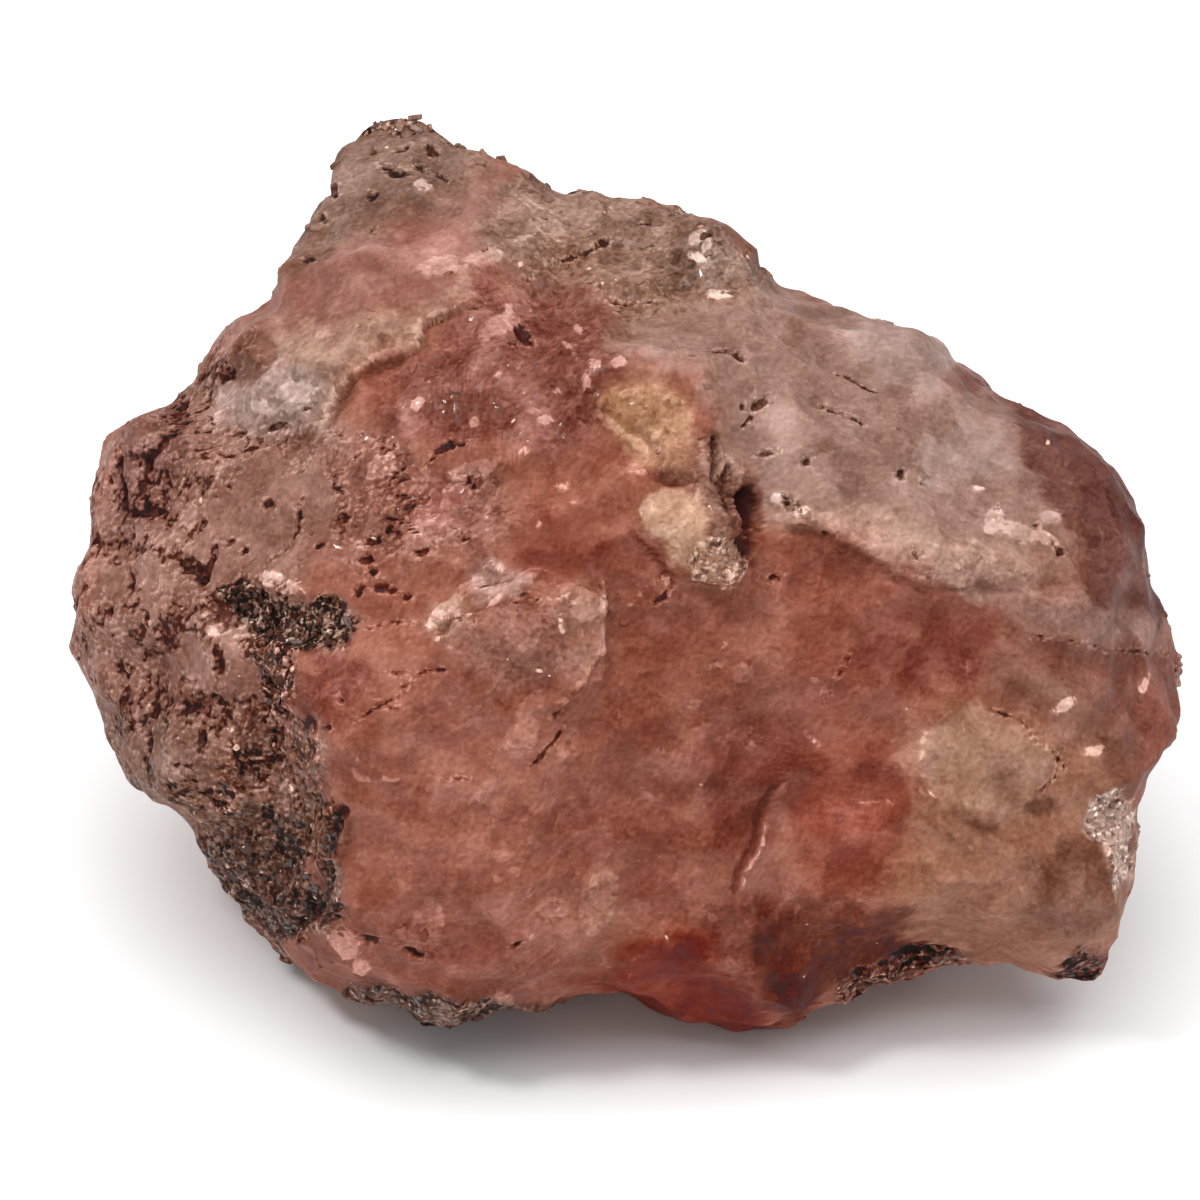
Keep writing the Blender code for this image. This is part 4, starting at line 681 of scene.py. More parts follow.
def lump_surface(directions):
    """Points of the lump's skin in the leaning frame, one for each unit direction from its middle.

    A direction's angle round the outward axis picks the outline's radius, and its angle from that axis a
    place on a squared ellipse between the outline and the bulge.  The fracture faces then cut the bulge
    down, and lumps, ledges, facets and swells are added along the outward normal of a matching ellipsoid.
    """
    flat = np.hypot(directions[:, 0], directions[:, 1])
    out = directions[:, 2]
    size = (flat**FULLNESS + np.abs(out) ** FULLNESS) ** (1 / FULLNESS)
    radius = outline_radius(np.arctan2(directions[:, 1], directions[:, 0])) * flat / size
    way = directions[:, :2] / np.maximum(flat, 1e-9)[:, None]
    across, up = radius * way[:, 0], radius * way[:, 1]
    front = out >= 0

    def cut(bulge, faces):
        heights = [bulge * np.abs(out) / size]
        for at_across, at_up, height, slope_across, slope_up in faces.values():
            heights.append(height + slope_across * (across - at_across) + slope_up * (up - at_up))
        return np.maximum(lowest_of(heights), 0)

    depth = np.where(front, cut(FRONT_BULGE, FRONT_FACES), -cut(BACK_BULGE, BACK_FACES))
    points = np.stack([across, up, depth], axis=1)
    normals = points / np.array(NORMALS_FROM) ** 2
    normals /= np.linalg.norm(normals, axis=1)[:, None]

    facing = np.clip(np.abs(normals[:, 2]) * SIDE_FACING, 0, 1)
    relief = np.where(
        front,
        lump_heights(across, up, FRONT_LUMPS) + ledge_heights(across, up, FRONT_LEDGES),
        lump_heights(across, up, BACK_LUMPS) + ledge_heights(across, up, BACK_LEDGES),
    ) * facing
    roughness = RIM_SHARE + (np.where(front, FRONT_SHARE, 1) - RIM_SHARE) * facing
    for cell, tilt, seed in FACETS:
        relief += roughness * broken_flats(points, cell, tilt, seed)[0]
    for cell, height, seed in SWELLS:
        relief += roughness * height * smooth_noise(points, cell, seed)
    points += normals * relief[:, None]
    points[:, 2] += OUTLINE_SHEAR[0] * across + OUTLINE_SHEAR[1] * up
    return points


def stood_up(points):
    """Turns the leaning frame upright and puts the origin on the resting plane under the lump's middle."""
    lean = math.radians(FACE_LEAN_DEG)
    across, up, out = points.T
    x = across - MIDDLE_TO_ORIGIN[0]
    y = up * math.sin(lean) - out * math.cos(lean) - MIDDLE_TO_ORIGIN[1]
    z = up * math.cos(lean) + out * math.sin(lean) + REST_DROP
    return np.stack([x, y, z], axis=1)


# ---- fine breakage of the skin
# Small broken flats: (cell size, tilt, depth on smooth skin, depth on crumbly skin, seed).
FINE_FACETS = [(1.9, 0.18, 0.6, 1.3, 41), (0.95, 0.2, 0.28, 1.1, 53), (0.5, 0.22, 0.0, 0.55, 67)]
# Strewn pits, one to a lattice cell: (cell size, half width, stretch, rise, seed).
STREWN_PITS = [(1.15, 0.11, 2.2, -0.2, 71)]
PIT_CLUSTERS = (1.7, 0.55, 301)  # noise that gathers the pits and cracks: (size, how far it swings them, seed)
CRACK_WIDTH = 0.25  # half width of the cracks along the arrises where they are thickest, in mm
CRACK_ONSET = 0.52  # how thick the pits have to be before cracks open
CRACKED_FROM = 0.07  # skin that is less pitted than this has no cracks
CRACK_DEPTH = 0.14  # in mm
OPENEST = 0.16  # where cracks stop growing wider
MOST_PITS = 0.62  # where pits stop growing thicker
PITTED_FROM = 0.08  # how pitted the skin has to be before it has strewn pits
CHAIN_WIDTH = 0.26  # how far from the arrises the chains of pits reach, in mm
CHAINED = (0.45, 1.1)  # the pits' thickness: away from the arrises, and how much more it is on them
FLAT_TONES = (0.045, 0.070, 0.015)  # how much lighter or darker than its neighbours a flat of each size may be
FLAT_TONE_SHARE = (0.22, 0.75)  # how much of that shows: everywhere, and per mm of the flat's depth
PAINTED_FLAT_SHADE = 0.35  # painted shade: how much lighter a flat's high side is than its low side
ARRIS_WIDTH = 0.09  # width of the painted highlight along an arris, in mm
CLOUDS = [(3.4, 0.030, 401), (1.5, 0.030, 411), (0.65, 0.022, 421)]  # light and dark drifts: (size, depth, seed)
MILK = (2.2, 0.06, 431)  # milky drifts: (size, how much lighter, seed)
TINT_SPREAD = 1.5  # how much softer than its lightness the edge of a wash's tint is, in mm
FINE_TINT = 0.4  # share of its tint that a small soft mark keeps
SHARD_GRAIN = 0.30  # how crumbly a pale shard is
DEPTHS = ("shard_depth", "dark_depth")  # how deep a place lies inside a crisp mark, in mm
MARK_REACH = 0.6  # how far from a crisp mark that depth is still kept
CHIP_TONE = 0.07  # how much lighter than the skin a loose chip may be
CHIP_TEXTURE = (0.5, 0.0, 1.0)  # a chip's share of the skin's grain, pits and mica
PAINTED_ARRIS_HIGHLIGHT = 0.11  # how much lighter the painted highlight on an arris is
# Noise that frays the edges of washes, and of spots and seams: (size, reach, seed).  After it, each fine flat
# takes its colour from a place pushed by its own lots, so that colours change along the arrises.
FINE_WASH = 0.4  # a wash whose edge is crisper than this is frayed half as much
WASH_FRAY = [(3.0, 0.5, 201), (1.1, 0.22, 211)]
MARK_FRAY = [(0.9, 0.09, 221)]
WASH_FLAT_PUSH = (0.3, 0.24, 0.03)  # one reach for each of FINE_FACETS
MARK_FLAT_PUSH = (0.0, 0.05, 0.03)
BACK_FADE = (-0.1, 0.16)  # the outward component over which the back's marks give way to the front's

DISPLAY_GAMMA = 2.2
WARM_GLOSS = (1.0, 0.8, 0.66, 1.0)  # tint of the skin's gloss
BRONZE_GLOSS = (1.0, 0.92, 0.86, 1.0)  # and of the mica's
LIGHT_WEIGHTS = (0.21, 0.72, 0.07)  # how red, green and blue add up to a shade's light
DARKEST = 0.06  # no place is darker than this display value
HALVES = (0.5, 0.5, 0.5)  # the middle of three lots from 0 to 1
FINE_FLAT = 0.42  # size of the flats that are too fine for the mesh, in mm
CROOKED = (1.1, 0.3)  # noise that bends their borders: (fineness per mm, reach in mm)
CRUMB = 0.17  # size of the crumbs on them, in mm
UP_TO_LIGHT = (-0.06, 0.065, 0.085)  # a step on the piece towards the light, in mm, for the painted relief shading and lit rims
TOWARDS_LIGHT = (-0.35, -0.55, 0.75)  # the way from which the fine flats' painted shading is lit
LEAST_CRUMBLE = 0.12  # how crumbly the smoothest skin looks, against 1 for the most crumbly
GRIT_FINENESS = 4.3  # of the noise that cuts the squiggly pits, per mm
PITTING = (0.46, 0.08, -0.43)  # what brings the grit up to where it cuts: (per pits, per mica, everywhere)
SHARD_FRAY = 0.14  # how far the fine flats' lots move a pale shard's edge, in mm
DARK_FRAY = 0.22  # how far the grit moves a dark mark's edge, in mm
DARK_RIM = 0.09  # how far outside a dark mark its lit rim lies, in mm
# How strong each fine effect is: (per crumble, per mica, everywhere), in display values.  Flats, crumbs and
# relief are painted shading, glints are painted highlights, and specks are pale crumbs that also stand in for glints.
FINE_EFFECTS = {
    "flats": (0.22, 0, 0),
    "crumbs": (0.2, 0.12, 0.01),
    "relief": (0.22, 0, 0.07),
    "glints": (0.34, -0.16, -0.15),
    "specks": (0.14, 0.26, -0.02),
    "pale middles": (0.16, 0, -0.04),  # for these, the share of the fine flats that have one
}
PALE_MIDDLE = 0.16  # how much lighter a flat's pale middle is
PIT_RIM = 0.24  # and a squiggly pit's lit rim
MARK_RIM = 0.10  # and a dark mark's lit rim
SOFT_SHADE = -0.05  # how much darker the skin just outside a dark mark is
HOLLOW = (0.16, -0.32)  # and the inside of a pit: (per lot, everywhere)
SKIN_ROUGHNESS = (0.16, 0.46, 0.14, -0.3)  # (per lot, everywhere, per crumble, per glossy flat)
GRAIN_ROUGHNESS = (0.16, 0.34)  # from the smoothest grain to the roughest
MICA_ROUGHNESS = (0.12, 0.4)
MICA_FLAT = 0.30  # size of the fine flats on the mica, in mm
GRAIN_FLAT = 0.26  # and on the pale grains

# The net over the skin: cells along each side of its six squares, and the angles from the outward axis
# where the front square ends and where the back square starts.  The display face gets five of the six.
NET_CELLS = 128
FRONT_SQUARE_ANGLE = math.radians(31)
BACK_SQUARE_ANGLE = math.radians(98)
FOOT_MARGIN = 0.8  # no loose grain sits lower than this, in mm
FOOT_CENTRE = (-1.0, 0.0, 9.0)  # the foot is pressed flat along lines to this point, in mm


def eased(value):
    """0 below 0, 1 above 1, and an S curve between: 3 t^2 - 2 t^3."""
    t = np.clip(value, 0, 1)
    return t * t * (3 - 2 * t)


def cube_net(cells):
    """A cube's surface from -1 to 1 as (corners, quads): six squares of cells, joined along their edges."""
    i, j = np.meshgrid(np.arange(cells), np.arange(cells), indexing="ij")
    squares = []
    for axis in range(3):
        for far in (0, cells):
            ways = ((axis + 1) % 3, (axis + 2) % 3)
            a, b = ways if far else ways[::-1]
            square = np.full((cells * cells, 4, 3), far)
            for turn, (step_a, step_b) in enumerate([(0, 0), (1, 0), (1, 1), (0, 1)]):
                square[:, turn, a] = (i + step_a).ravel()
                square[:, turn, b] = (j + step_b).ravel()
            squares.append(square)
    corners, index = np.unique(np.concatenate(squares).reshape(-1, 3), axis=0, return_inverse=True)
    return corners / cells * 2 - 1, index.reshape(-1, 4)


def net_directions(cube):
    """Unit directions for the cube's corners, closer together on the display face.

    The place along a square ring gives the angle round the outward axis, evenly.  The ring's size gives the
    angle from that axis: from 0 on the front square, on down the four sides, and on to 180 degrees.
    """
    x, y, z = cube.T
    ring = np.maximum(np.abs(x), np.abs(y))
    wide = np.abs(x) >= np.abs(y)
    ratio = np.where(wide, y, x) / np.where(ring > 0, np.where(wide, x, y), 1)
    start = np.where(wide, np.where(x >= 0, 0, math.pi), np.where(y >= 0, math.pi / 2, -math.pi / 2))
    turn = start + np.where(wide, 1, -1) * ratio * math.pi / 4
    sides = FRONT_SQUARE_ANGLE + (BACK_SQUARE_ANGLE - FRONT_SQUARE_ANGLE) * (1 - z) / 2
    tip = np.where(z >= 1, ring * FRONT_SQUARE_ANGLE, sides)
    tip = np.where(z <= -1, math.pi - ring * (math.pi - BACK_SQUARE_ANGLE), tip)
    return np.stack([np.sin(tip) * np.cos(turn), np.sin(tip) * np.sin(turn), np.cos(tip)], axis=1)


def net_normals(points, quads):
    """Unit normals of the points: the cross products of the quads' diagonals, added up at their corners."""
    corners = points[quads]
    crosses = np.cross(corners[:, 2] - corners[:, 0], corners[:, 3] - corners[:, 1])
    total = np.stack([np.bincount(quads.ravel(), np.repeat(part, 4), len(points)) for part in crosses.T], axis=1)
    return total / np.linalg.norm(total, axis=1)[:, None]


def frayed(places, points, fray, flats, push):
    """The places pushed about by noise and by each flat's lots, so that what is drawn there has a broken edge."""
    pushed = places.copy()
    for size, reach, seed in fray:
        pushed[:, 0] += reach * smooth_noise(points, size, seed)
        pushed[:, 1] += reach * smooth_noise(points, size, seed + 3)
    for reach, (_, lots, _) in zip(push, flats):
        pushed += reach * lots[:, 1:]
    return pushed


def depth_inside(across, up, outline):
    """Distance to an outline of corners, above zero inside it and below zero outside."""
    corners = np.array(outline)
    inside = np.zeros(len(across), bool)
    for (x0, y0), (x1, y1) in zip(corners, np.roll(corners, -1, axis=0)):
        between = (y0 > up) != (y1 > up)
        crossing = x0 + (up - y0) * (x1 - x0) / (y1 - y0 if y1 != y0 else 1.0)
        inside ^= between & (across < crossing)
    nearest = path_distance(across, up, outline + outline[:1])[0]
    return np.where(inside, nearest, -nearest)


def depth_inside_spot(across, up, spot):
    """About the distance to an ellipse's edge: (1 - distance in half widths) times its half width."""
    return (1 - np.hypot(*in_ellipse(across, up, *spot))) * spot[3]


def strewn(points, size, half_width, stretch, seed, share):
    """How deep the points lie inside marks strewn over the lattice, in mm: (1 - distance in widths) times width.

    Each lattice cell holds one long mark, lying in a direction of its own, where its lot is under the share.
    """
    scaled = points / size
    base = np.floor(scaled).astype(np.int64)
    found = np.full(len(points), -MARK_REACH)
    for offset in corner_offsets((-1, 0, 1)):
        cell = base + offset
        away = (scaled - (cell + 0.5 + 0.4 * lattice_random(cell, seed))) * size
        lay = lattice_random(cell, seed + 31)
        lots = lattice_random(cell, seed + 62)
        lay /= np.linalg.norm(lay, axis=1)[:, None] + 1e-9
        along = (away * lay).sum(axis=1)
        beside = (away**2).sum(axis=1) - along**2
        width = half_width * (0.5 + 0.9 * (0.5 + 0.5 * lots[:, 1]) ** 2)
        depth = width * (1 - np.sqrt((along / stretch) ** 2 + beside) / width)
        found = np.where(lots[:, 0] * 0.5 + 0.5 < share, np.maximum(found, depth), found)
    return found


class Paint:
    """What is laid on the skin's points.

    A point's colour is its light, one number, plus its tint: how far red, green and blue stand from the
    light.  It also has three textures (grain, pits, mica) and a rise.  Marks with crisp edges are kept as how
    deep the point lies inside the nearest one, in mm: pale shards with their lift, and dark pits.
    """

    def __init__(self, count, shade):
        light, tint = light_and_tint(shade)
        self.light = np.full(count, light)
        self.tint = np.tile(tint, (count, 1))
        self.texture = np.tile(BODY_TEXTURE, (count, 1))
        self.rise = np.zeros(count)
        self.shard_lift = np.zeros(count)
        self.shard_depth = np.full(count, -MARK_REACH)
        self.dark_depth = np.full(count, -MARK_REACH)

    def lay(self, shade, light_share, tint_share):
        """Draws the light and the tint towards a shade, each by a share of its own."""
        light, tint = light_and_tint(shade)
        self.light += (light - self.light) * light_share
        self.tint += (tint - self.tint) * tint_share[:, None]

    def set_shard(self, lift, rise, depth):
        """A pale, raised shard wherever its depth is above that of the shards before it."""
        self.shard_lift = np.where(depth > self.shard_depth, lift, self.shard_lift)
        self.shard_depth = np.maximum(depth, self.shard_depth)
        self.texture[:, 0] = np.maximum(self.texture[:, 0], SHARD_GRAIN * eased(depth / 0.3 + 0.7))
        self.rise += rise * eased(depth / 0.14 + 0.5)

    def sink_pit(self, rise, depth):
        """A dark pit or crack, which also goes into the skin."""
        self.dark_depth = np.maximum(depth, self.dark_depth)
        self.rise += rise * eased(depth / 0.16 + 0.4)

    def marks(self, places, points, flats, washes, spots, seams):
        """Lays the washes, then the soft spots and seams, at the places where the points are seen."""
        broad = frayed(places, points, WASH_FRAY, flats, WASH_FLAT_PUSH)
        for shade, strength, softness, texture, outline in washes.values():
            across, up = (broad if softness > FINE_WASH else (broad + places) / 2).T
            depth = depth_inside(across, up, outline)
            share = eased(depth / softness + 0.5)
            spread = softness + TINT_SPREAD * (1.0 if softness > FINE_WASH else FINE_TINT)
            self.lay(shade, share * strength, strength * eased(depth / spread + 0.5))
            self.texture += (np.array(texture) - self.texture) * share[:, None]
        across, up = frayed(places, points, MARK_FRAY, flats, MARK_FLAT_PUSH).T
        for shade, strength, softness, rise, group in spots.values():
            for spot in group:
                share = eased(depth_inside_spot(across, up, spot) / softness + 0.5)
                self.lay(shade, share * strength, share * strength * FINE_TINT)
                self.rise += rise * share
        for shade, strength, half_width, rise, paths in seams.values():
            for path in paths:
                distance = path_distance(across, up, path)[0]
                share = eased((half_width - distance) / max(half_width, 0.1) + 0.5)
                self.lay(shade, share * strength, share * strength * FINE_TINT)
                self.rise += rise * share

    def crisp_marks(self, places, points, flats, shards, edges, pits, cracks):
        """Sets the pale shards and edges, then sinks the dark pits and cracks."""
        across, up = frayed(places, points, MARK_FRAY, flats, MARK_FLAT_PUSH).T
        waver = smooth_noise(points, 0.8, 241) + 0.7 * smooth_noise(points, 0.36, 243)
        for lift, rise, group in shards.values():
            for spot in group:
                self.set_shard(lift, rise, depth_inside_spot(across, up, spot))
        for lift, half_width, rise, paths in edges.values():
            for path in paths:
                width = half_width * (0.75 + 0.9 * waver)
                self.set_shard(lift, rise, width - path_distance(across, up, path)[0])
        for rise, group in pits.values():
            for spot in group:
                self.sink_pit(rise, depth_inside_spot(across, up, spot))
        for half_width, rise, paths in cracks.values():
            for path in paths:
                width = half_width * (0.85 + 1.3 * waver)
                self.sink_pit(rise, width - path_distance(across, up, path)[0])

    def mixed(self, other, share):
        """This paint where the share is 0 and the other where it is 1."""
        for name in ("light", "tint", "texture", "rise", "shard_lift", "shard_depth", "dark_depth"):
            mine, others = getattr(self, name), getattr(other, name)
            setattr(self, name, mine + (others - mine) * share.reshape(-1, *[1] * (mine.ndim - 1)))

    def clouds(self, points):
        """Light and dark drifts, and milky ones, inside the stone."""
        self.light += sum(depth * smooth_noise(points, size, seed) for size, depth, seed in CLOUDS)
        size, lift, seed = MILK
        self.light += lift * eased(smooth_noise(points, size, seed) * 1.6 - 0.1)

    def breakage(self, points, flats, scale):
        """Adds small broken flats, pits and cracks, with each flat's tone, painted shade and painted arris highlights.
        """
        grain, pits, mica = self.texture.copy().T
        for flat_tone, (size, _, on_smooth, on_crumbly, _), (height, lots, border) in zip(
            FLAT_TONES, FINE_FACETS, flats
        ):
            amount = on_smooth + (on_crumbly - on_smooth) * grain
            self.rise += scale * amount * height
            shown = FLAT_TONE_SHARE[0] + FLAT_TONE_SHARE[1] * amount
            # each flat's own random tone, plus painted shade that makes it lighter where it stands higher
            self.light += (flat_tone * lots[:, 0] + PAINTED_FLAT_SHADE * height / size * flat_tone) * shown
            # a painted highlight along the arrises, on some of the flats
            lit = np.exp(-border / ARRIS_WIDTH) * eased(lots[:, 1] * 1.5 - 0.2) * amount * (1 - 0.6 * mica)
            self.light += PAINTED_ARRIS_HIGHLIGHT * lit
        size, swing, seed = PIT_CLUSTERS
        gathered = smooth_noise(points, size, seed) + 0.6 * smooth_noise(points, 0.45 * size, seed + 7)
        thick = np.clip(pits * (1 + swing * gathered / 0.5), 0, 1)
        chained = CHAINED[0] + CHAINED[1] * np.exp(-((flats[1][2] / CHAIN_WIDTH) ** 2))
        pitted = np.minimum(thick * chained, MOST_PITS) ** 0.5
        self.texture[:, 1] = pitted
        for cell, half_width, stretch, rise, seed in STREWN_PITS:
            self.sink_pit(scale * rise, strewn(points, cell, half_width, stretch, seed, thick - PITTED_FROM))
        opening = np.where(pits > CRACKED_FROM, np.clip(pitted + swing * gathered - CRACK_ONSET, -1, OPENEST), -1)
        for _, _, border in flats[1:]:
            self.sink_pit(-scale * CRACK_DEPTH, CRACK_WIDTH * opening - 0.5 * border)


def skin_surface(cells, scale):
    """(points in metres, quads, paint): the lump's skin with its marks and fine breakage, pressed flat below."""
    cube, quads = cube_net(cells)
    directions = net_directions(cube)
    points = lump_surface(directions)
    seen = points[:, :2] * (VIEWING_DISTANCE / (VIEWING_DISTANCE - points[:, 2]))[:, None]
    flats = [broken_flats(points, size, tilt, seed) for size, tilt, _, _, seed in FINE_FACETS]
    paint = Paint(len(points), BODY_SHADE)
    paint.marks(seen, points, flats, FRONT_WASHES, FRONT_SPOTS, FRONT_SEAMS)
    paint.crisp_marks(seen, points, flats, FRONT_SHARDS, FRONT_EDGES, FRONT_PITS, FRONT_CRACKS)
    behind = Paint(len(points), BODY_SHADE)
    behind.marks(points[:, :2], points, flats, BACK_WASHES, {}, {})
    behind.crisp_marks(points[:, :2], points, flats, BACK_SHARDS, {}, BACK_PITS, BACK_CRACKS)
    low, high = BACK_FADE
    paint.mixed(behind, 1 - eased((directions[:, 2] - low) / (high - low)))
    paint.clouds(points)
    paint.breakage(points, flats, scale)
    points = stood_up(points + net_normals(points, quads) * paint.rise[:, None])
    centre = np.array(FOOT_CENTRE)
    below = np.minimum(points[:, 2], 0)
    points = centre + (points - centre) * (centre[2] / (centre[2] - below))[:, None]
    return points * MM, quads, paint


# ---- meshes and objects
def mesh_from(name, points, faces, smooth):
    """A mesh from an array of points and a list of arrays of faces, each array with one number of corners."""
    mesh = bpy.data.meshes.new(name)
    sizes = np.concatenate([np.full(len(part), part.shape[1]) for part in faces])
    corners = np.concatenate([part.ravel() for part in faces])
    mesh.vertices.add(len(points))
    mesh.vertices.foreach_set("co", points.astype(np.float32).ravel())
    mesh.loops.add(len(corners))
    mesh.loops.foreach_set("vertex_index", corners.astype(np.int32))
    mesh.polygons.add(len(sizes))
    mesh.polygons.foreach_set("loop_start", (np.cumsum(sizes) - sizes).astype(np.int32))
    mesh.polygons.foreach_set("use_smooth", np.full(len(sizes), smooth))
    mesh.update(calc_edges=True)
    if mesh.validate():
        raise RuntimeError(f"{name}: its mesh had faults")
    return mesh


def add_number_attribute(mesh, name, values):
    held = mesh.attributes.new(name, "FLOAT", "POINT")
    held.data.foreach_set("value", values.astype(np.float32))


def add_colour_attribute(mesh, name, values):
    """Three numbers for each point, kept as a colour."""
    held = mesh.attributes.new(name, "FLOAT_COLOR", "POINT")
    held.data.foreach_set("color", np.column_stack([values, np.ones(len(values))]).astype(np.float32).ravel())


def add_piece(name, mesh, material):
    """The mesh as an object of the stone, at the origin, riding on its body."""
    mesh.materials.append(material)
    piece = bpy.data.objects.new(name, mesh)
    bpy.context.scene.collection.objects.link(piece)
    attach(piece, BODY)
    return piece


def ringed_solids(name, rings, smooth):
    """Closed solids in one mesh: rings[solid, level, side] are points, with quads between levels and flat ends."""
    count, levels, sides, _ = rings.shape
    index = np.arange(count * levels * sides).reshape(count, levels, sides)
    after = np.roll(index, -1, axis=2)
    walls = np.stack([index[:, :-1], after[:, :-1], after[:, 1:], index[:, 1:]], axis=-1).reshape(-1, 4)
    ends = np.concatenate([index[:, 0, ::-1], index[:, -1]])
    return mesh_from(name, rings.reshape(-1, 3), [walls, ends], smooth)


Places = collections.namedtuple("Places", "points normals along beside tint texture lots")


def skin_places(weigh, count, seed):
    """Places drawn by lot on the finished skin, each with its normal, two directions along the skin and paint."""
    skin = bpy.data.objects.get("stone_skin")
    if skin is None:
        raise RuntimeError("the stone's skin has to be built first")
    mesh = skin.data
    total = len(mesh.vertices)
    points, normals = np.empty((total, 3)), np.empty((total, 3))
    tint, texture = np.empty((total, 4)), np.empty((total, 4))
    mesh.vertices.foreach_get("co", points.ravel())
    mesh.vertices.foreach_get("normal", normals.ravel())
    mesh.attributes["tint"].data.foreach_get("color", tint.ravel())
    mesh.attributes["texture"].data.foreach_get("color", texture.ravel())
    areas, corners = np.empty(len(mesh.polygons)), np.empty(len(mesh.loops), np.int32)
    mesh.polygons.foreach_get("area", areas)
    mesh.loops.foreach_get("vertex_index", corners)
    room = np.bincount(corners, np.repeat(areas, 4), total)
    weight = room * weigh(*texture[:, :3].T) * (points[:, 2] > FOOT_MARGIN * MM)
    lots = np.random.default_rng(seed)
    chosen = lots.choice(total, count, p=weight / weight.sum())
    normals = normals[chosen]
    along = np.cross(normals, lots.normal(size=(count, 3)))
    along /= np.linalg.norm(along, axis=1)[:, None]
    beside = np.cross(normals, along)
    return Places(points[chosen], normals, along, beside, tint[chosen, :3], texture[chosen, :3], lots)


def tilted(normals, along, beside, tilt, lots):
    """The three directions turned together by a random lean of about this many radians."""
    lean = lots.normal(size=(len(normals), 2)) * tilt
    axis = normals + along * lean[:, :1] + beside * lean[:, 1:]
    axis /= np.linalg.norm(axis, axis=1)[:, None]
    along = along - axis * (along * axis).sum(axis=1)[:, None]
    along /= np.linalg.norm(along, axis=1)[:, None]
    return axis, along, np.cross(axis, along)


def lens_rings(places, sizes, profile, sides, tilt, sink):
    """Rings of small solids: point = place + radius(level) (long cos a, wide sin a) + height(level) thick axis.

    The profile lists (height, radius) from the bottom up, and each corner's radius is drawn within a fifth.
    """
    lots = places.lots
    count = len(places.points)
    axis, along, beside = tilted(places.normals, places.along, places.beside, tilt, lots)
    size = sizes[0] + (sizes[1] - sizes[0]) * lots.random(count) ** 2.5
    wide = size * (0.45 + 0.4 * lots.random(count))
    thick = size * sizes[2] * (0.7 + 0.6 * lots.random(count))
    angle = 2 * math.pi * (np.arange(sides) + 0.35 * (lots.random((count, sides)) - 0.5)) / sides
    reach = 1 - 0.3 * lots.random((count, sides))
    height, radius = np.array(profile).T
    x = radius[None, :, None] * (reach * np.cos(angle) * size[:, None])[:, None]
    y = radius[None, :, None] * (reach * np.sin(angle) * wide[:, None])[:, None]
    z = height[None, :, None] * thick[:, None, None] - sink * thick[:, None, None] + 0 * x
    spread = [part[..., None] * way[:, None, None] for part, way in ((x, along), (y, beside), (z, axis))]
    return places.points[:, None, None] + sum(spread)


# ---- shader nodes
def shade_of(name):
    """A named shade as display values from 0 to 1."""
    return np.array(getattr(bpy.context.scene.morganite_shades, name.replace(" ", "_")))


def light_and_tint(name):
    """A named shade as its light, and how far red, green and blue stand from it."""
    shade = shade_of(name)
    light = shade @ np.array(LIGHT_WEIGHTS)
    return light, shade - light


def place(tree, kind, inputs=None, **settings):
    """Adds a node, sets its own settings, and sets each input to a value or joins it to an output."""
    node = tree.nodes.new("ShaderNode" + kind)
    for name, value in settings.items():
        setattr(node, name, value)
    for name, value in (inputs or {}).items():
        if isinstance(value, bpy.types.NodeSocket):
            tree.links.new(value, node.inputs[name])
        else:
            node.inputs[name].default_value = value
    return node


def reckon(tree, operation, a, b=0.0, clamp=False):
    """One step of arithmetic on two numbers."""
    return place(tree, "Math", {0: a, 1: b}, operation=operation, use_clamp=clamp).outputs[0]


def vector(tree, operation, a, b):
    """One step of arithmetic on vectors.  SCALE takes a number as its second."""
    second = "Scale" if operation == "SCALE" else 1
    return place(tree, "VectorMath", {0: a, second: b}, operation=operation).outputs[0]


def ramp(tree, value, low, high, to_low=0.0, to_high=1.0):
    """An S curve from to_low where the value is low to to_high where it is high."""
    inputs = {"Value": value, "From Min": low, "From Max": high, "To Min": to_low, "To Max": to_high}
    return place(tree, "MapRange", inputs, interpolation_type="SMOOTHSTEP").outputs["Result"]


def mixed_colour(tree, share, first, second):
    return place(tree, "Mix", {"Factor": share, 6: first, 7: second}, data_type="RGBA").outputs[2]


def noise(tree, position, scale, detail, rough=0.55):
    inputs = {"Vector": position, "Scale": scale, "Detail": detail, "Roughness": rough}
    return place(tree, "TexNoise", inputs).outputs["Fac"]


def new_group(name, inputs, outputs):
    """An empty node group with the named sockets: (tree, its inputs, the node that takes its outputs)."""
    tree = bpy.data.node_groups.new(name, "ShaderNodeTree")
    for way, sockets in (("INPUT", inputs), ("OUTPUT", outputs)):
        for socket, kind in sockets.items():
            tree.interface.new_socket(name=socket, in_out=way, socket_type="NodeSocket" + kind)
    return tree, tree.nodes.new("NodeGroupInput").outputs, tree.nodes.new("NodeGroupOutput")


def group_named(name, build):
    """The node group of this name, built where it is first used."""
    return bpy.data.node_groups.get(name) or build(name)


def warped(tree, position, scale, reach):
    """The position pushed about by coloured noise, so that cells drawn there have crooked borders."""
    drift = place(tree, "TexNoise", {"Vector": position, "Scale": scale, "Detail": 1.0}).outputs["Color"]
    push = vector(tree, "SCALE", vector(tree, "SUBTRACT", drift, HALVES), reach)
    return vector(tree, "ADD", position, push)


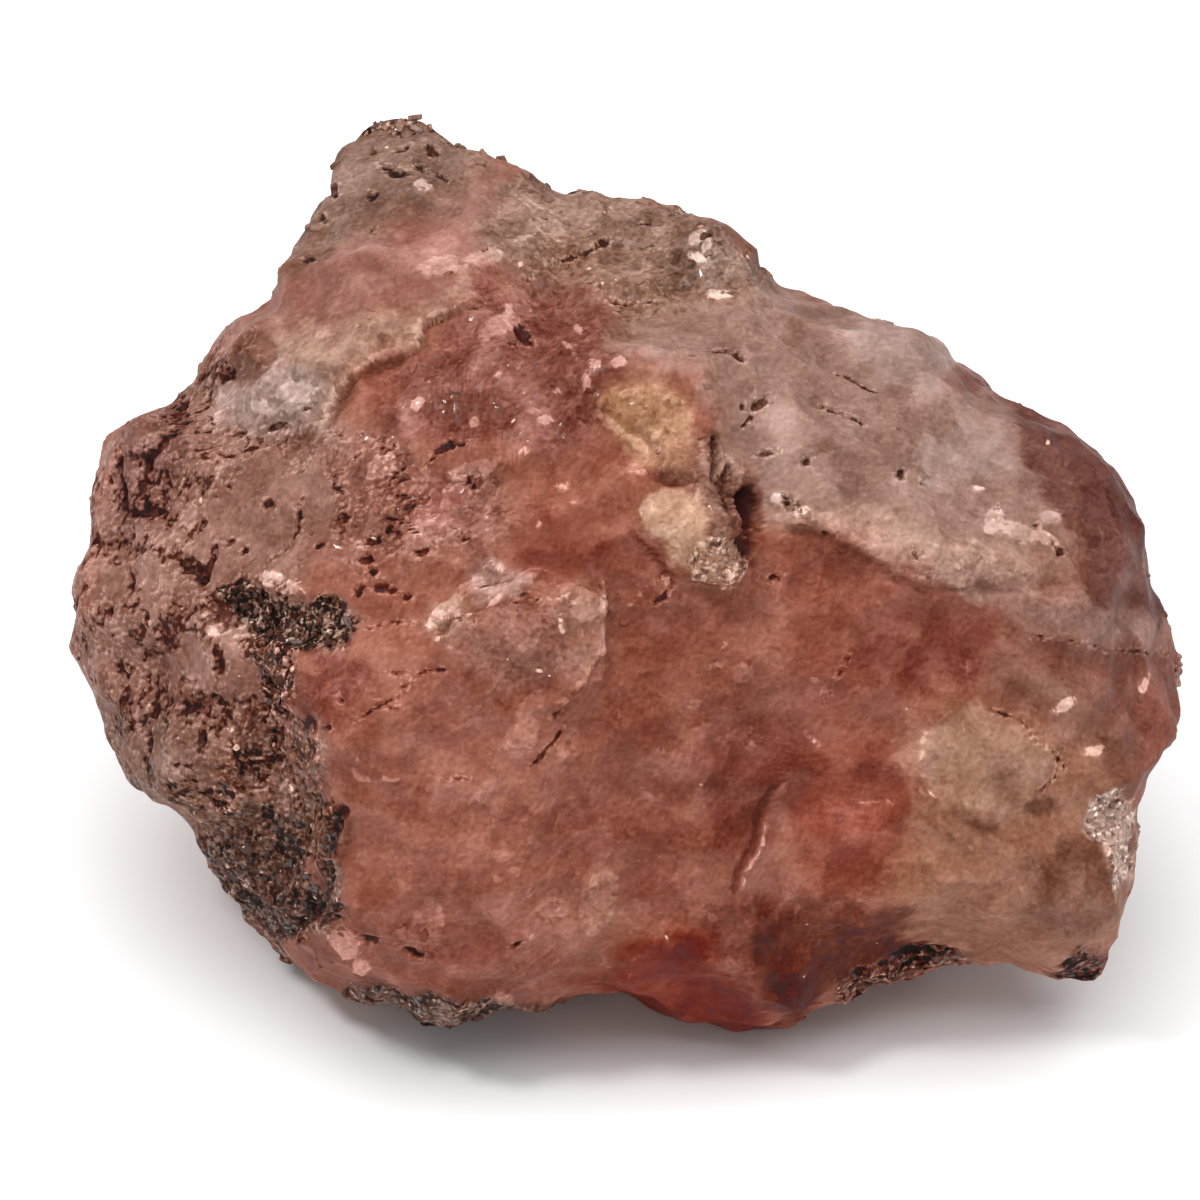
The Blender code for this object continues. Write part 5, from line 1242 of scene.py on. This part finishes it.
def fine_flats(name):
    """Flats too fine for the mesh, each leaning its own way.

    It puts out each flat's lean, how much it faces the light (-1 to 1), which is used as painted shading, the
    way from its middle in mm, and three lots from 0 to 1 that are the same all over one flat.
    """
    tree, given, result = new_group(
        name, {"Position": "Vector", "Size": "Float"},
        {"Lean": "Vector", "Painted Shading": "Float", "Way": "Float", "Lots": "Color"})
    scale = reckon(tree, "DIVIDE", 1.0, given["Size"])
    cells = place(tree, "TexVoronoi", {"Vector": given["Position"], "Scale": scale})
    lean = vector(tree, "SUBTRACT", cells.outputs["Color"], HALVES)
    # painted shading: how much the flat's lean faces the light
    tone = place(tree, "VectorMath", {0: lean, 1: TOWARDS_LIGHT}, operation="DOT_PRODUCT").outputs["Value"]
    way = reckon(tree, "MULTIPLY", cells.outputs["Distance"], given["Size"])
    for socket, value in (("Lean", lean), ("Painted Shading", tone), ("Way", way), ("Lots", cells.outputs["Color"])):
        tree.links.new(value, result.inputs[socket])
    return tree


def crisp_mark(name):
    """Masks of a crisp mark, of the softer shade that spreads from it and of its lit rim, from how deep a
    place lies inside the mark."""
    tree, given, result = new_group(
        name, {"Depth": "Float", "Lot": "Float", "Wobble": "Float", "Rim": "Float"},
        {"Mask": "Float", "Shade": "Float", "Edge": "Float"})
    push = reckon(tree, "MULTIPLY", reckon(tree, "SUBTRACT", given["Lot"], 0.5), given["Wobble"])
    depth = reckon(tree, "ADD", given["Depth"], push)
    tree.links.new(ramp(tree, depth, -0.02, 0.03), result.inputs["Mask"])
    tree.links.new(ramp(tree, depth, -0.09, 0.01), result.inputs["Shade"])
    beside = reckon(tree, "ABSOLUTE", reckon(tree, "ADD", depth, given["Rim"]))
    tree.links.new(ramp(tree, beside, 0.06, 0.015), result.inputs["Edge"])
    return tree


def use_group(tree, name, build, inputs):
    return place(tree, "Group", inputs, node_tree=group_named(name, build)).outputs


def new_material(name):
    """A material with its shader, and the place on the piece in millimetres."""
    material = bpy.data.materials.new(name)
    material.use_nodes = True
    tree = material.node_tree
    coordinates = place(tree, "TexCoord")
    position = vector(tree, "SCALE", coordinates.outputs["Object"], 1 / MM)
    return material, tree, tree.nodes["Principled BSDF"], position


def set_shader(shader, **values):
    for name, value in values.items():
        shader.inputs[name.replace("_", " ")].default_value = value


def linear(name):
    """A named shade as linear light."""
    return (*shade_of(name) ** DISPLAY_GAMMA, 1.0)


def shaded(tree, colour, lift):
    """Linear light from a colour in display values, made lighter by the lift in all three alike."""
    kept = vector(tree, "MAXIMUM", vector(tree, "ADD", colour, lift), (DARKEST, DARKEST, DARKEST))
    return place(tree, "Gamma", {"Color": kept, "Gamma": DISPLAY_GAMMA}).outputs["Color"]


def added(tree, *parts):
    """The sum of (value, times) parts."""
    total = None
    for value, times in parts:
        total = place(tree, "Math", {0: value, 1: times, 2: 0.0 if total is None else total},
                      operation="MULTIPLY_ADD").outputs[0]
    return total


def leaning(tree, shader, *leans):
    """Turns the shader's normal: the skin's own normal plus each (lean, amount), made one long."""
    normal = place(tree, "NewGeometry").outputs["Normal"]
    for lean, amount in leans:
        normal = vector(tree, "ADD", normal, vector(tree, "SCALE", lean, amount))
    normal = place(tree, "VectorMath", {0: normal}, operation="NORMALIZE").outputs[0]
    tree.links.new(normal, shader.inputs["Normal"])


def skin_material():
    """Waxy pink beryl: painted shades broken into fine flats, crisp shards, pits and specks, painted shading and
    highlights.
    """
    material, tree, shader, position = new_material("rough_morganite_skin")
    tint, texture = (place(tree, "Attribute", attribute_name=name).outputs["Color"] for name in ("tint", "texture"))
    shard_lift, shard_depth, dark_depth = (
        place(tree, "Attribute", attribute_name=name).outputs["Fac"] for name in ("shard_lift", *DEPTHS))
    grain, pits, mica = place(tree, "SeparateColor", {"Color": texture}).outputs
    bent = warped(tree, position, *CROOKED)
    flats = use_group(tree, "Fine Flats", fine_flats, {"Position": bent, "Size": FINE_FLAT})
    crumbs = use_group(tree, "Fine Flats", fine_flats, {"Position": bent, "Size": CRUMB})
    first, second, third = place(tree, "SeparateColor", {"Color": flats["Lots"]}).outputs
    crumb_lot, gloss_lot, _ = place(tree, "SeparateColor", {"Color": crumbs["Lots"]}).outputs
    crumble = ramp(tree, reckon(tree, "MAXIMUM", grain, mica), 0.0, 1.0, LEAST_CRUMBLE, 1.0)
    grit = reckon(tree, "SUBTRACT", noise(tree, position, GRIT_FINENESS, 1.0, 0.5), 0.5)
    above = vector(tree, "ADD", position, UP_TO_LIGHT)
    grit_above = reckon(tree, "SUBTRACT", noise(tree, above, GRIT_FINENESS, 1.0, 0.5), 0.5)

    shards = use_group(tree, "Crisp Mark", crisp_mark, {
        "Depth": shard_depth, "Lot": third, "Wobble": SHARD_FRAY, "Rim": 0.0})
    darks = use_group(tree, "Crisp Mark", crisp_mark, {
        "Depth": dark_depth, "Lot": added(tree, (grit, 0.9), (1.0, 0.5)), "Wobble": DARK_FRAY, "Rim": DARK_RIM})
    covered = reckon(tree, "MAXIMUM", shards["Mask"], reckon(tree, "MULTIPLY", shards["Shade"], 0.35))
    pitting = added(tree, (pits, PITTING[0]), (mica, PITTING[1]), (1.0, PITTING[2]))
    squiggles = ramp(tree, reckon(tree, "ADD", grit, pitting), 0.0, 0.06)
    hollow = reckon(tree, "MAXIMUM", darks["Mask"], squiggles)
    # a painted highlight: the lit rim of each squiggly pit on its side towards the light
    lit_rim = ramp(tree, reckon(tree, "ADD", grit_above, pitting), 0.01, 0.05)
    lit_rim = reckon(tree, "MULTIPLY", lit_rim, added(tree, (hollow, -1.0), (1.0, 1.0)))
    lit_rim = reckon(tree, "MULTIPLY", lit_rim, ramp(tree, second, 0.2, 0.7))
    # painted relief shading: lighter on one side of each bump of grit and darker on the other, as if lit
    relief = reckon(tree, "SUBTRACT", grit_above, grit)
    strengths = {name: added(tree, *((value, times) for value, times in zip((crumble, mica, 1.0), parts) if times))
                 for name, parts in FINE_EFFECTS.items()}
    # painted glints: pale where the painted relief is lightest, on crumbly skin
    glinting = reckon(tree, "MAXIMUM", strengths["glints"], 0.0)
    glints = reckon(tree, "MULTIPLY", ramp(tree, relief, 0.12, 0.17), glinting)
    # painted lit arcs round the dark marks, where the painted relief is light
    arcs = reckon(tree, "MULTIPLY", darks["Edge"], ramp(tree, relief, 0.02, 0.07))
    has_pale = reckon(tree, "LESS_THAN", first, strengths["pale middles"])
    pale = reckon(tree, "MULTIPLY", ramp(tree, flats["Way"], 0.105, 0.075), has_pale)
    # pale specks on a few crumbs: pale crumbs, and on the mica painted glints
    specks = reckon(tree, "MULTIPLY", ramp(tree, crumb_lot, 0.90, 0.94), strengths["specks"])
    # the lift: shards and pale middles, painted shading of flats, crumbs and relief, painted lit rims, glints and arcs,
    # specks, and dark pits
    lift = added(
        tree, (shard_lift, covered), (flats["Painted Shading"], strengths["flats"]), (crumbs["Painted Shading"], strengths["crumbs"]),
        (relief, strengths["relief"]), (pale, PALE_MIDDLE), (lit_rim, PIT_RIM), (glints, 1.0), (arcs, MARK_RIM),
        (specks, 1.0), (darks["Shade"], SOFT_SHADE), (hollow, added(tree, (crumb_lot, HOLLOW[0]), (1.0, HOLLOW[1]))))
    tree.links.new(shaded(tree, tint, lift), shader.inputs["Base Color"])

    glossy = reckon(tree, "MULTIPLY", ramp(tree, gloss_lot, 0.80, 0.86), ramp(tree, crumble, 0.16, 0.72))
    glossy = reckon(tree, "MULTIPLY", glossy, added(tree, (hollow, -0.9), (mica, -0.8), (1.0, 1.0)), clamp=True)
    tree.links.new(glossy, shader.inputs["Coat Weight"])
    roughness = added(tree, *zip((third, 1.0, crumble, glossy), SKIN_ROUGHNESS))
    tree.links.new(roughness, shader.inputs["Roughness"])
    leaning(tree, shader, (flats["Lean"], reckon(tree, "MULTIPLY", crumble, 1.1)),
            (crumbs["Lean"], reckon(tree, "MULTIPLY", crumble, 0.9)))
    set_shader(shader, IOR=1.57, Subsurface_Weight=0.15, Subsurface_Scale=0.3 * MM, Coat_Roughness=0.08,
               Coat_IOR=1.57, Subsurface_Radius=(1.0, 0.42, 0.28), Specular_IOR_Level=0.16,
               Specular_Tint=WARM_GLOSS)
    return material


def mica_material():
    """Bronze-brown mica: dark plates, each flat of its own shade, with a hard pearly glint."""
    material, tree, shader, position = new_material("bronze_mica")
    flats = use_group(tree, "Fine Flats", fine_flats, {"Position": position, "Size": MICA_FLAT})
    first, second, _ = place(tree, "SeparateColor", {"Color": flats["Lots"]}).outputs
    tone = added(tree, (first, 0.16), (1.0, -0.11))
    shade = place(tree, "RGB").outputs[0]
    shade.default_value = (*shade_of("mica brown"), 1.0)
    tree.links.new(shaded(tree, shade, tone), shader.inputs["Base Color"])
    tree.links.new(ramp(tree, second, 0.0, 1.0, *MICA_ROUGHNESS), shader.inputs["Roughness"])
    leaning(tree, shader, (flats["Lean"], 0.4))
    set_shader(shader, IOR=1.6, Specular_IOR_Level=0.35, Specular_Tint=BRONZE_GLOSS)
    return material


def grain_material():
    """Pale beryl and quartz grains: pink to white, glassier than the skin round them."""
    material, tree, shader, position = new_material("pale_grain")
    flats = use_group(tree, "Fine Flats", fine_flats, {"Position": position, "Size": GRAIN_FLAT})
    clumps = place(tree, "TexVoronoi", {"Vector": position, "Scale": 1.1}).outputs["Color"]
    lot, second, _ = place(tree, "SeparateColor", {"Color": clumps}).outputs
    colour = mixed_colour(tree, ramp(tree, lot, 0.0, 1.0), linear("pebble"), linear("grain pink"))
    # painted shading: the grain's colour is lighter on flats that face the light
    light = reckon(tree, "ADD", reckon(tree, "MULTIPLY", flats["Painted Shading"], 0.35), 1.0)
    tree.links.new(vector(tree, "SCALE", colour, light), shader.inputs["Base Color"])
    tree.links.new(ramp(tree, second, 0.0, 1.0, *GRAIN_ROUGHNESS), shader.inputs["Roughness"])
    leaning(tree, shader, (flats["Lean"], 0.5))
    set_shader(shader, IOR=1.57, Subsurface_Weight=0.2, Subsurface_Scale=0.3 * MM,
               Subsurface_Radius=(1.0, 0.6, 0.5))
    return material


# ---- settings that a user may change
class MorganiteShades(bpy.types.PropertyGroup):
    """The stone's shades, as they are shown on a display."""

    __annotations__ = {
        name.replace(" ", "_"): bpy.props.FloatVectorProperty(
            name=name.capitalize(), description=f"Shade of the stone: {name}", subtype="COLOR_GAMMA",
            size=3, min=0.0, max=1.0, default=tuple(part / 255 for part in shown))
        for name, shown in SHADES.items()
    }


class MorganiteSizes(bpy.types.PropertyGroup):
    """Sizes and numbers of the stone's small features, and of its stage."""

    net_cells: bpy.props.IntProperty(
        name="Net cells", description="Cells along each of the six squares of the skin's net",
        default=NET_CELLS, min=16, max=NET_CELLS)
    breakage: bpy.props.FloatProperty(
        name="Fine breakage", description="How strongly the skin's small flats, pits and crumbs stand out",
        default=1.0, min=0.0, max=1.5, subtype="FACTOR")
    chips: bpy.props.IntProperty(
        name="Chips", description="Number of loose angular chips", default=3400, min=1, max=5000)
    chip_size: bpy.props.FloatProperty(
        name="Chip size", description="Half length of the largest chips", default=0.46 * MM,
        min=0.05 * MM, max=1.5 * MM, unit="LENGTH", precision=5)
    mica_plates: bpy.props.IntProperty(
        name="Mica plates", description="Number of mica plates", default=560, min=1, max=4000)
    plate_size: bpy.props.FloatProperty(
        name="Plate size", description="Half length of the largest mica plates", default=0.36 * MM,
        min=0.05 * MM, max=1.5 * MM, unit="LENGTH", precision=5)
    pale_grains: bpy.props.IntProperty(
        name="Pale grains", description="Number of pale grains", default=700, min=1, max=3000)
    grain_size: bpy.props.FloatProperty(
        name="Grain size", description="Half length of the largest pale grains", default=0.26 * MM,
        min=0.05 * MM, max=1.0 * MM, unit="LENGTH", precision=5)
    viewing_distance: bpy.props.FloatProperty(
        name="Viewing distance", description="From the camera to the middle of the display face",
        default=VIEWING_DISTANCE * MM, min=0.05, max=2.0, unit="LENGTH")
    view_width: bpy.props.FloatProperty(
        name="View width", description="Width of the view at the middle of the display face",
        default=50 * MM, min=0.02, max=0.5, unit="LENGTH")
    lamp_power: bpy.props.FloatProperty(
        name="Lamp power", description="Power of the broad lamp overhead", default=1.9, min=0.0, unit="POWER")
    sky_strength: bpy.props.FloatProperty(
        name="Sky strength", description="Strength of the even light all round", default=0.46, min=0.0)


# ---- one operator for each piece, and the stage
class BuildSkin(bpy.types.Operator):
    """Build the stone's skin: its form, marks and fine breakage on one closed net"""

    bl_idname = "morganite.build_skin"
    bl_label = "Stone Skin"

    def execute(self, context):
        sizes = context.scene.morganite_sizes
        points, quads, paint = skin_surface(sizes.net_cells, sizes.breakage)
        mesh = mesh_from("stone_skin", points, [quads], smooth=True)
        add_colour_attribute(mesh, "tint", np.clip(paint.tint + paint.light[:, None], 0, 1))
        add_colour_attribute(mesh, "texture", np.clip(paint.texture, 0, 1))
        add_number_attribute(mesh, "shard_lift", paint.shard_lift)
        for name in DEPTHS:
            add_number_attribute(mesh, name, np.clip(getattr(paint, name), -MARK_REACH, MARK_REACH))
        skin = add_piece("stone_skin", mesh, skin_material())
        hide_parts(NODE)
        return {"FINISHED"}


class BuildChips(bpy.types.Operator):
    """Build the chips: small angular splinters of the stone's own shades that stand proud of its crumbly skin"""

    bl_idname = "morganite.build_chips"
    bl_label = "Broken Chips"

    def execute(self, context):
        sizes = context.scene.morganite_sizes
        places = skin_places(lambda grain, pits, mica: (0.01 + grain**2.5) * (1 - 0.7 * mica), sizes.chips, seed=43)
        span = (sizes.chip_size * 0.2, sizes.chip_size, 0.30)
        rings = lens_rings(places, span, [(-1.0, 1.05), (0.6, 1.0), (1.0, 0.82)], sides=5, tilt=0.22, sink=0.62)
        mesh = ringed_solids("broken_chips", rings, smooth=False)
        corners = rings.shape[1] * rings.shape[2]
        lift = CHIP_TONE * (places.lots.random(len(rings)) ** 1.5 - 0.2)
        add_colour_attribute(mesh, "tint", np.clip(np.repeat(places.tint + lift[:, None], corners, axis=0), 0, 1))
        add_colour_attribute(mesh, "texture", np.repeat(places.texture * CHIP_TEXTURE, corners, axis=0))
        for name in DEPTHS:
            add_number_attribute(mesh, name, np.full(rings.size // 3, -MARK_REACH))
        add_number_attribute(mesh, "shard_lift", np.zeros(rings.size // 3))
        add_piece("broken_chips", mesh, bpy.data.materials["rough_morganite_skin"])
        return {"FINISHED"}


class BuildMica(bpy.types.Operator):
    """Build the mica: small dark plates that stand at odd angles in the stone's pockets and seams"""

    bl_idname = "morganite.build_mica"
    bl_label = "Mica Plates"

    def execute(self, context):
        sizes = context.scene.morganite_sizes
        places = skin_places(lambda grain, pits, mica: mica**3, sizes.mica_plates, seed=7)
        span = (sizes.plate_size * 0.3, sizes.plate_size, 0.10)
        rings = lens_rings(places, span, [(-1, 0.9), (1, 1.0)], sides=6, tilt=0.45, sink=-0.6)
        add_piece("mica_plates", ringed_solids("mica_plates", rings, smooth=False), mica_material())
        return {"FINISHED"}


class BuildGrains(bpy.types.Operator):
    """Build the pale grains: small rounded crystals half sunk in the crumbly skin"""

    bl_idname = "morganite.build_grains"
    bl_label = "Pale Grains"

    def execute(self, context):
        sizes = context.scene.morganite_sizes
        places = skin_places(
            lambda grain, pits, mica: (0.002 + grain**2.5) * (1.0 - 0.8 * mica), sizes.pale_grains, seed=19)
        span = (sizes.grain_size * 0.3, sizes.grain_size, 0.42)
        profile = [(-1.0, 0.5), (-0.35, 0.95), (0.4, 0.85), (0.95, 0.4)]
        rings = lens_rings(places, span, profile, sides=6, tilt=0.35, sink=0.35)
        add_piece("pale_grains", ringed_solids("pale_grains", rings, smooth=True), grain_material())
        return {"FINISHED"}


def floor_material():
    material, tree, shader, position = new_material("white_paper")
    shade = ramp(tree, noise(tree, position, 0.02, 2.0), 0.3, 0.7, 0.0, 0.03)
    colour = mixed_colour(tree, shade, (0.93, 0.93, 0.935, 1.0), (0.86, 0.86, 0.87, 1.0))
    tree.links.new(colour, shader.inputs["Base Color"])
    set_shader(shader, Roughness=0.9)
    return material


def add_floor():
    """A flat pale floor: place = (x, y, 0) on a square grid."""
    steps = np.linspace(-0.6, 0.6, 5)
    x, y = np.meshgrid(steps, steps, indexing="ij")
    index = np.arange(x.size).reshape(x.shape)
    quads = np.stack([index[:-1, :-1], index[1:, :-1], index[1:, 1:], index[:-1, 1:]], axis=-1).reshape(-1, 4)
    mesh = mesh_from("floor", np.stack([x.ravel(), y.ravel(), 0 * x.ravel()], axis=1), [quads], smooth=False)
    mesh.materials.append(floor_material())
    floor = bpy.data.objects.new("floor", mesh)
    bpy.context.scene.collection.objects.link(floor)


def add_lamp(name, location, target, size, power):
    """A round soft lamp that faces the target."""
    light = bpy.data.lights.new(name, "AREA")
    light.shape = "DISK"
    light.size = size
    light.energy = power
    lamp = bpy.data.objects.new(name, light)
    lamp.location = location
    lamp.rotation_euler = (Vector(target) - Vector(location)).to_track_quat("-Z", "Y").to_euler()
    bpy.context.scene.collection.objects.link(lamp)


class BuildStage(bpy.types.Operator):
    """Set the stage: a plain pale floor, soft light and the camera square to the display face"""

    bl_idname = "morganite.build_stage"
    bl_label = "Stage"

    def execute(self, context):
        scene, sizes = context.scene, context.scene.morganite_sizes
        add_floor()
        middle = Vector(stood_up(np.zeros((1, 3)))[0] * MM)
        lean = math.radians(FACE_LEAN_DEG)
        camera = bpy.data.cameras.new("view")
        camera.sensor_width = 36.0
        camera.lens = camera.sensor_width * sizes.viewing_distance / sizes.view_width
        camera.clip_start = 10 * MM
        viewer = bpy.data.objects.new("view", camera)
        viewer.location = middle + Vector((0, -math.cos(lean), math.sin(lean))) * sizes.viewing_distance
        viewer.rotation_euler = (middle - viewer.location).to_track_quat("-Z", "Y").to_euler()
        scene.collection.objects.link(viewer)
        scene.camera = viewer
        add_lamp("overhead", (0.03, -0.04, 0.42), middle, 0.50, sizes.lamp_power)
        add_lamp("window", (-0.17, -0.10, 0.36), middle, 0.07, sizes.lamp_power * 0.26)
        world = bpy.data.worlds.new("soft white")
        world.use_nodes = True
        world.node_tree.nodes["Background"].inputs["Color"].default_value = (1.0, 1.0, 1.0, 1.0)
        world.node_tree.nodes["Background"].inputs["Strength"].default_value = sizes.sky_strength
        scene.world = world
        scene.view_settings.view_transform = "Standard"
        return {"FINISHED"}


class MorganitePanel(bpy.types.Panel):
    """Lists the pieces of the specimen, with the settings they are built from"""

    bl_idname = "VIEW3D_PT_morganite"
    bl_label = "Morganite Specimen"
    bl_space_type = "VIEW_3D"
    bl_region_type = "UI"
    bl_category = "Morganite"

    def draw(self, context):
        for operator in OPERATORS:
            self.layout.operator(operator.bl_idname)
        for settings in (context.scene.morganite_sizes, context.scene.morganite_shades):
            box = self.layout.box()
            for name in settings.__annotations__:
                box.prop(settings, name)


OPERATORS = (BuildSkin, BuildChips, BuildMica, BuildGrains, BuildStage)
CLASSES = (MorganiteShades, MorganiteSizes, *OPERATORS, MorganitePanel)


def register():
    for part in CLASSES:
        bpy.utils.register_class(part)
    bpy.types.Scene.morganite_shades = bpy.props.PointerProperty(type=MorganiteShades)
    bpy.types.Scene.morganite_sizes = bpy.props.PointerProperty(type=MorganiteSizes)


def unregister():
    del bpy.types.Scene.morganite_sizes
    del bpy.types.Scene.morganite_shades
    for part in reversed(CLASSES):
        bpy.utils.unregister_class(part)


def main():
    register()
    bpy.ops.morganite.build_skin()
    bpy.ops.morganite.build_chips()
    bpy.ops.morganite.build_mica()
    bpy.ops.morganite.build_grains()
    bpy.ops.morganite.build_stage()


if __name__ == "__main__":
    main()
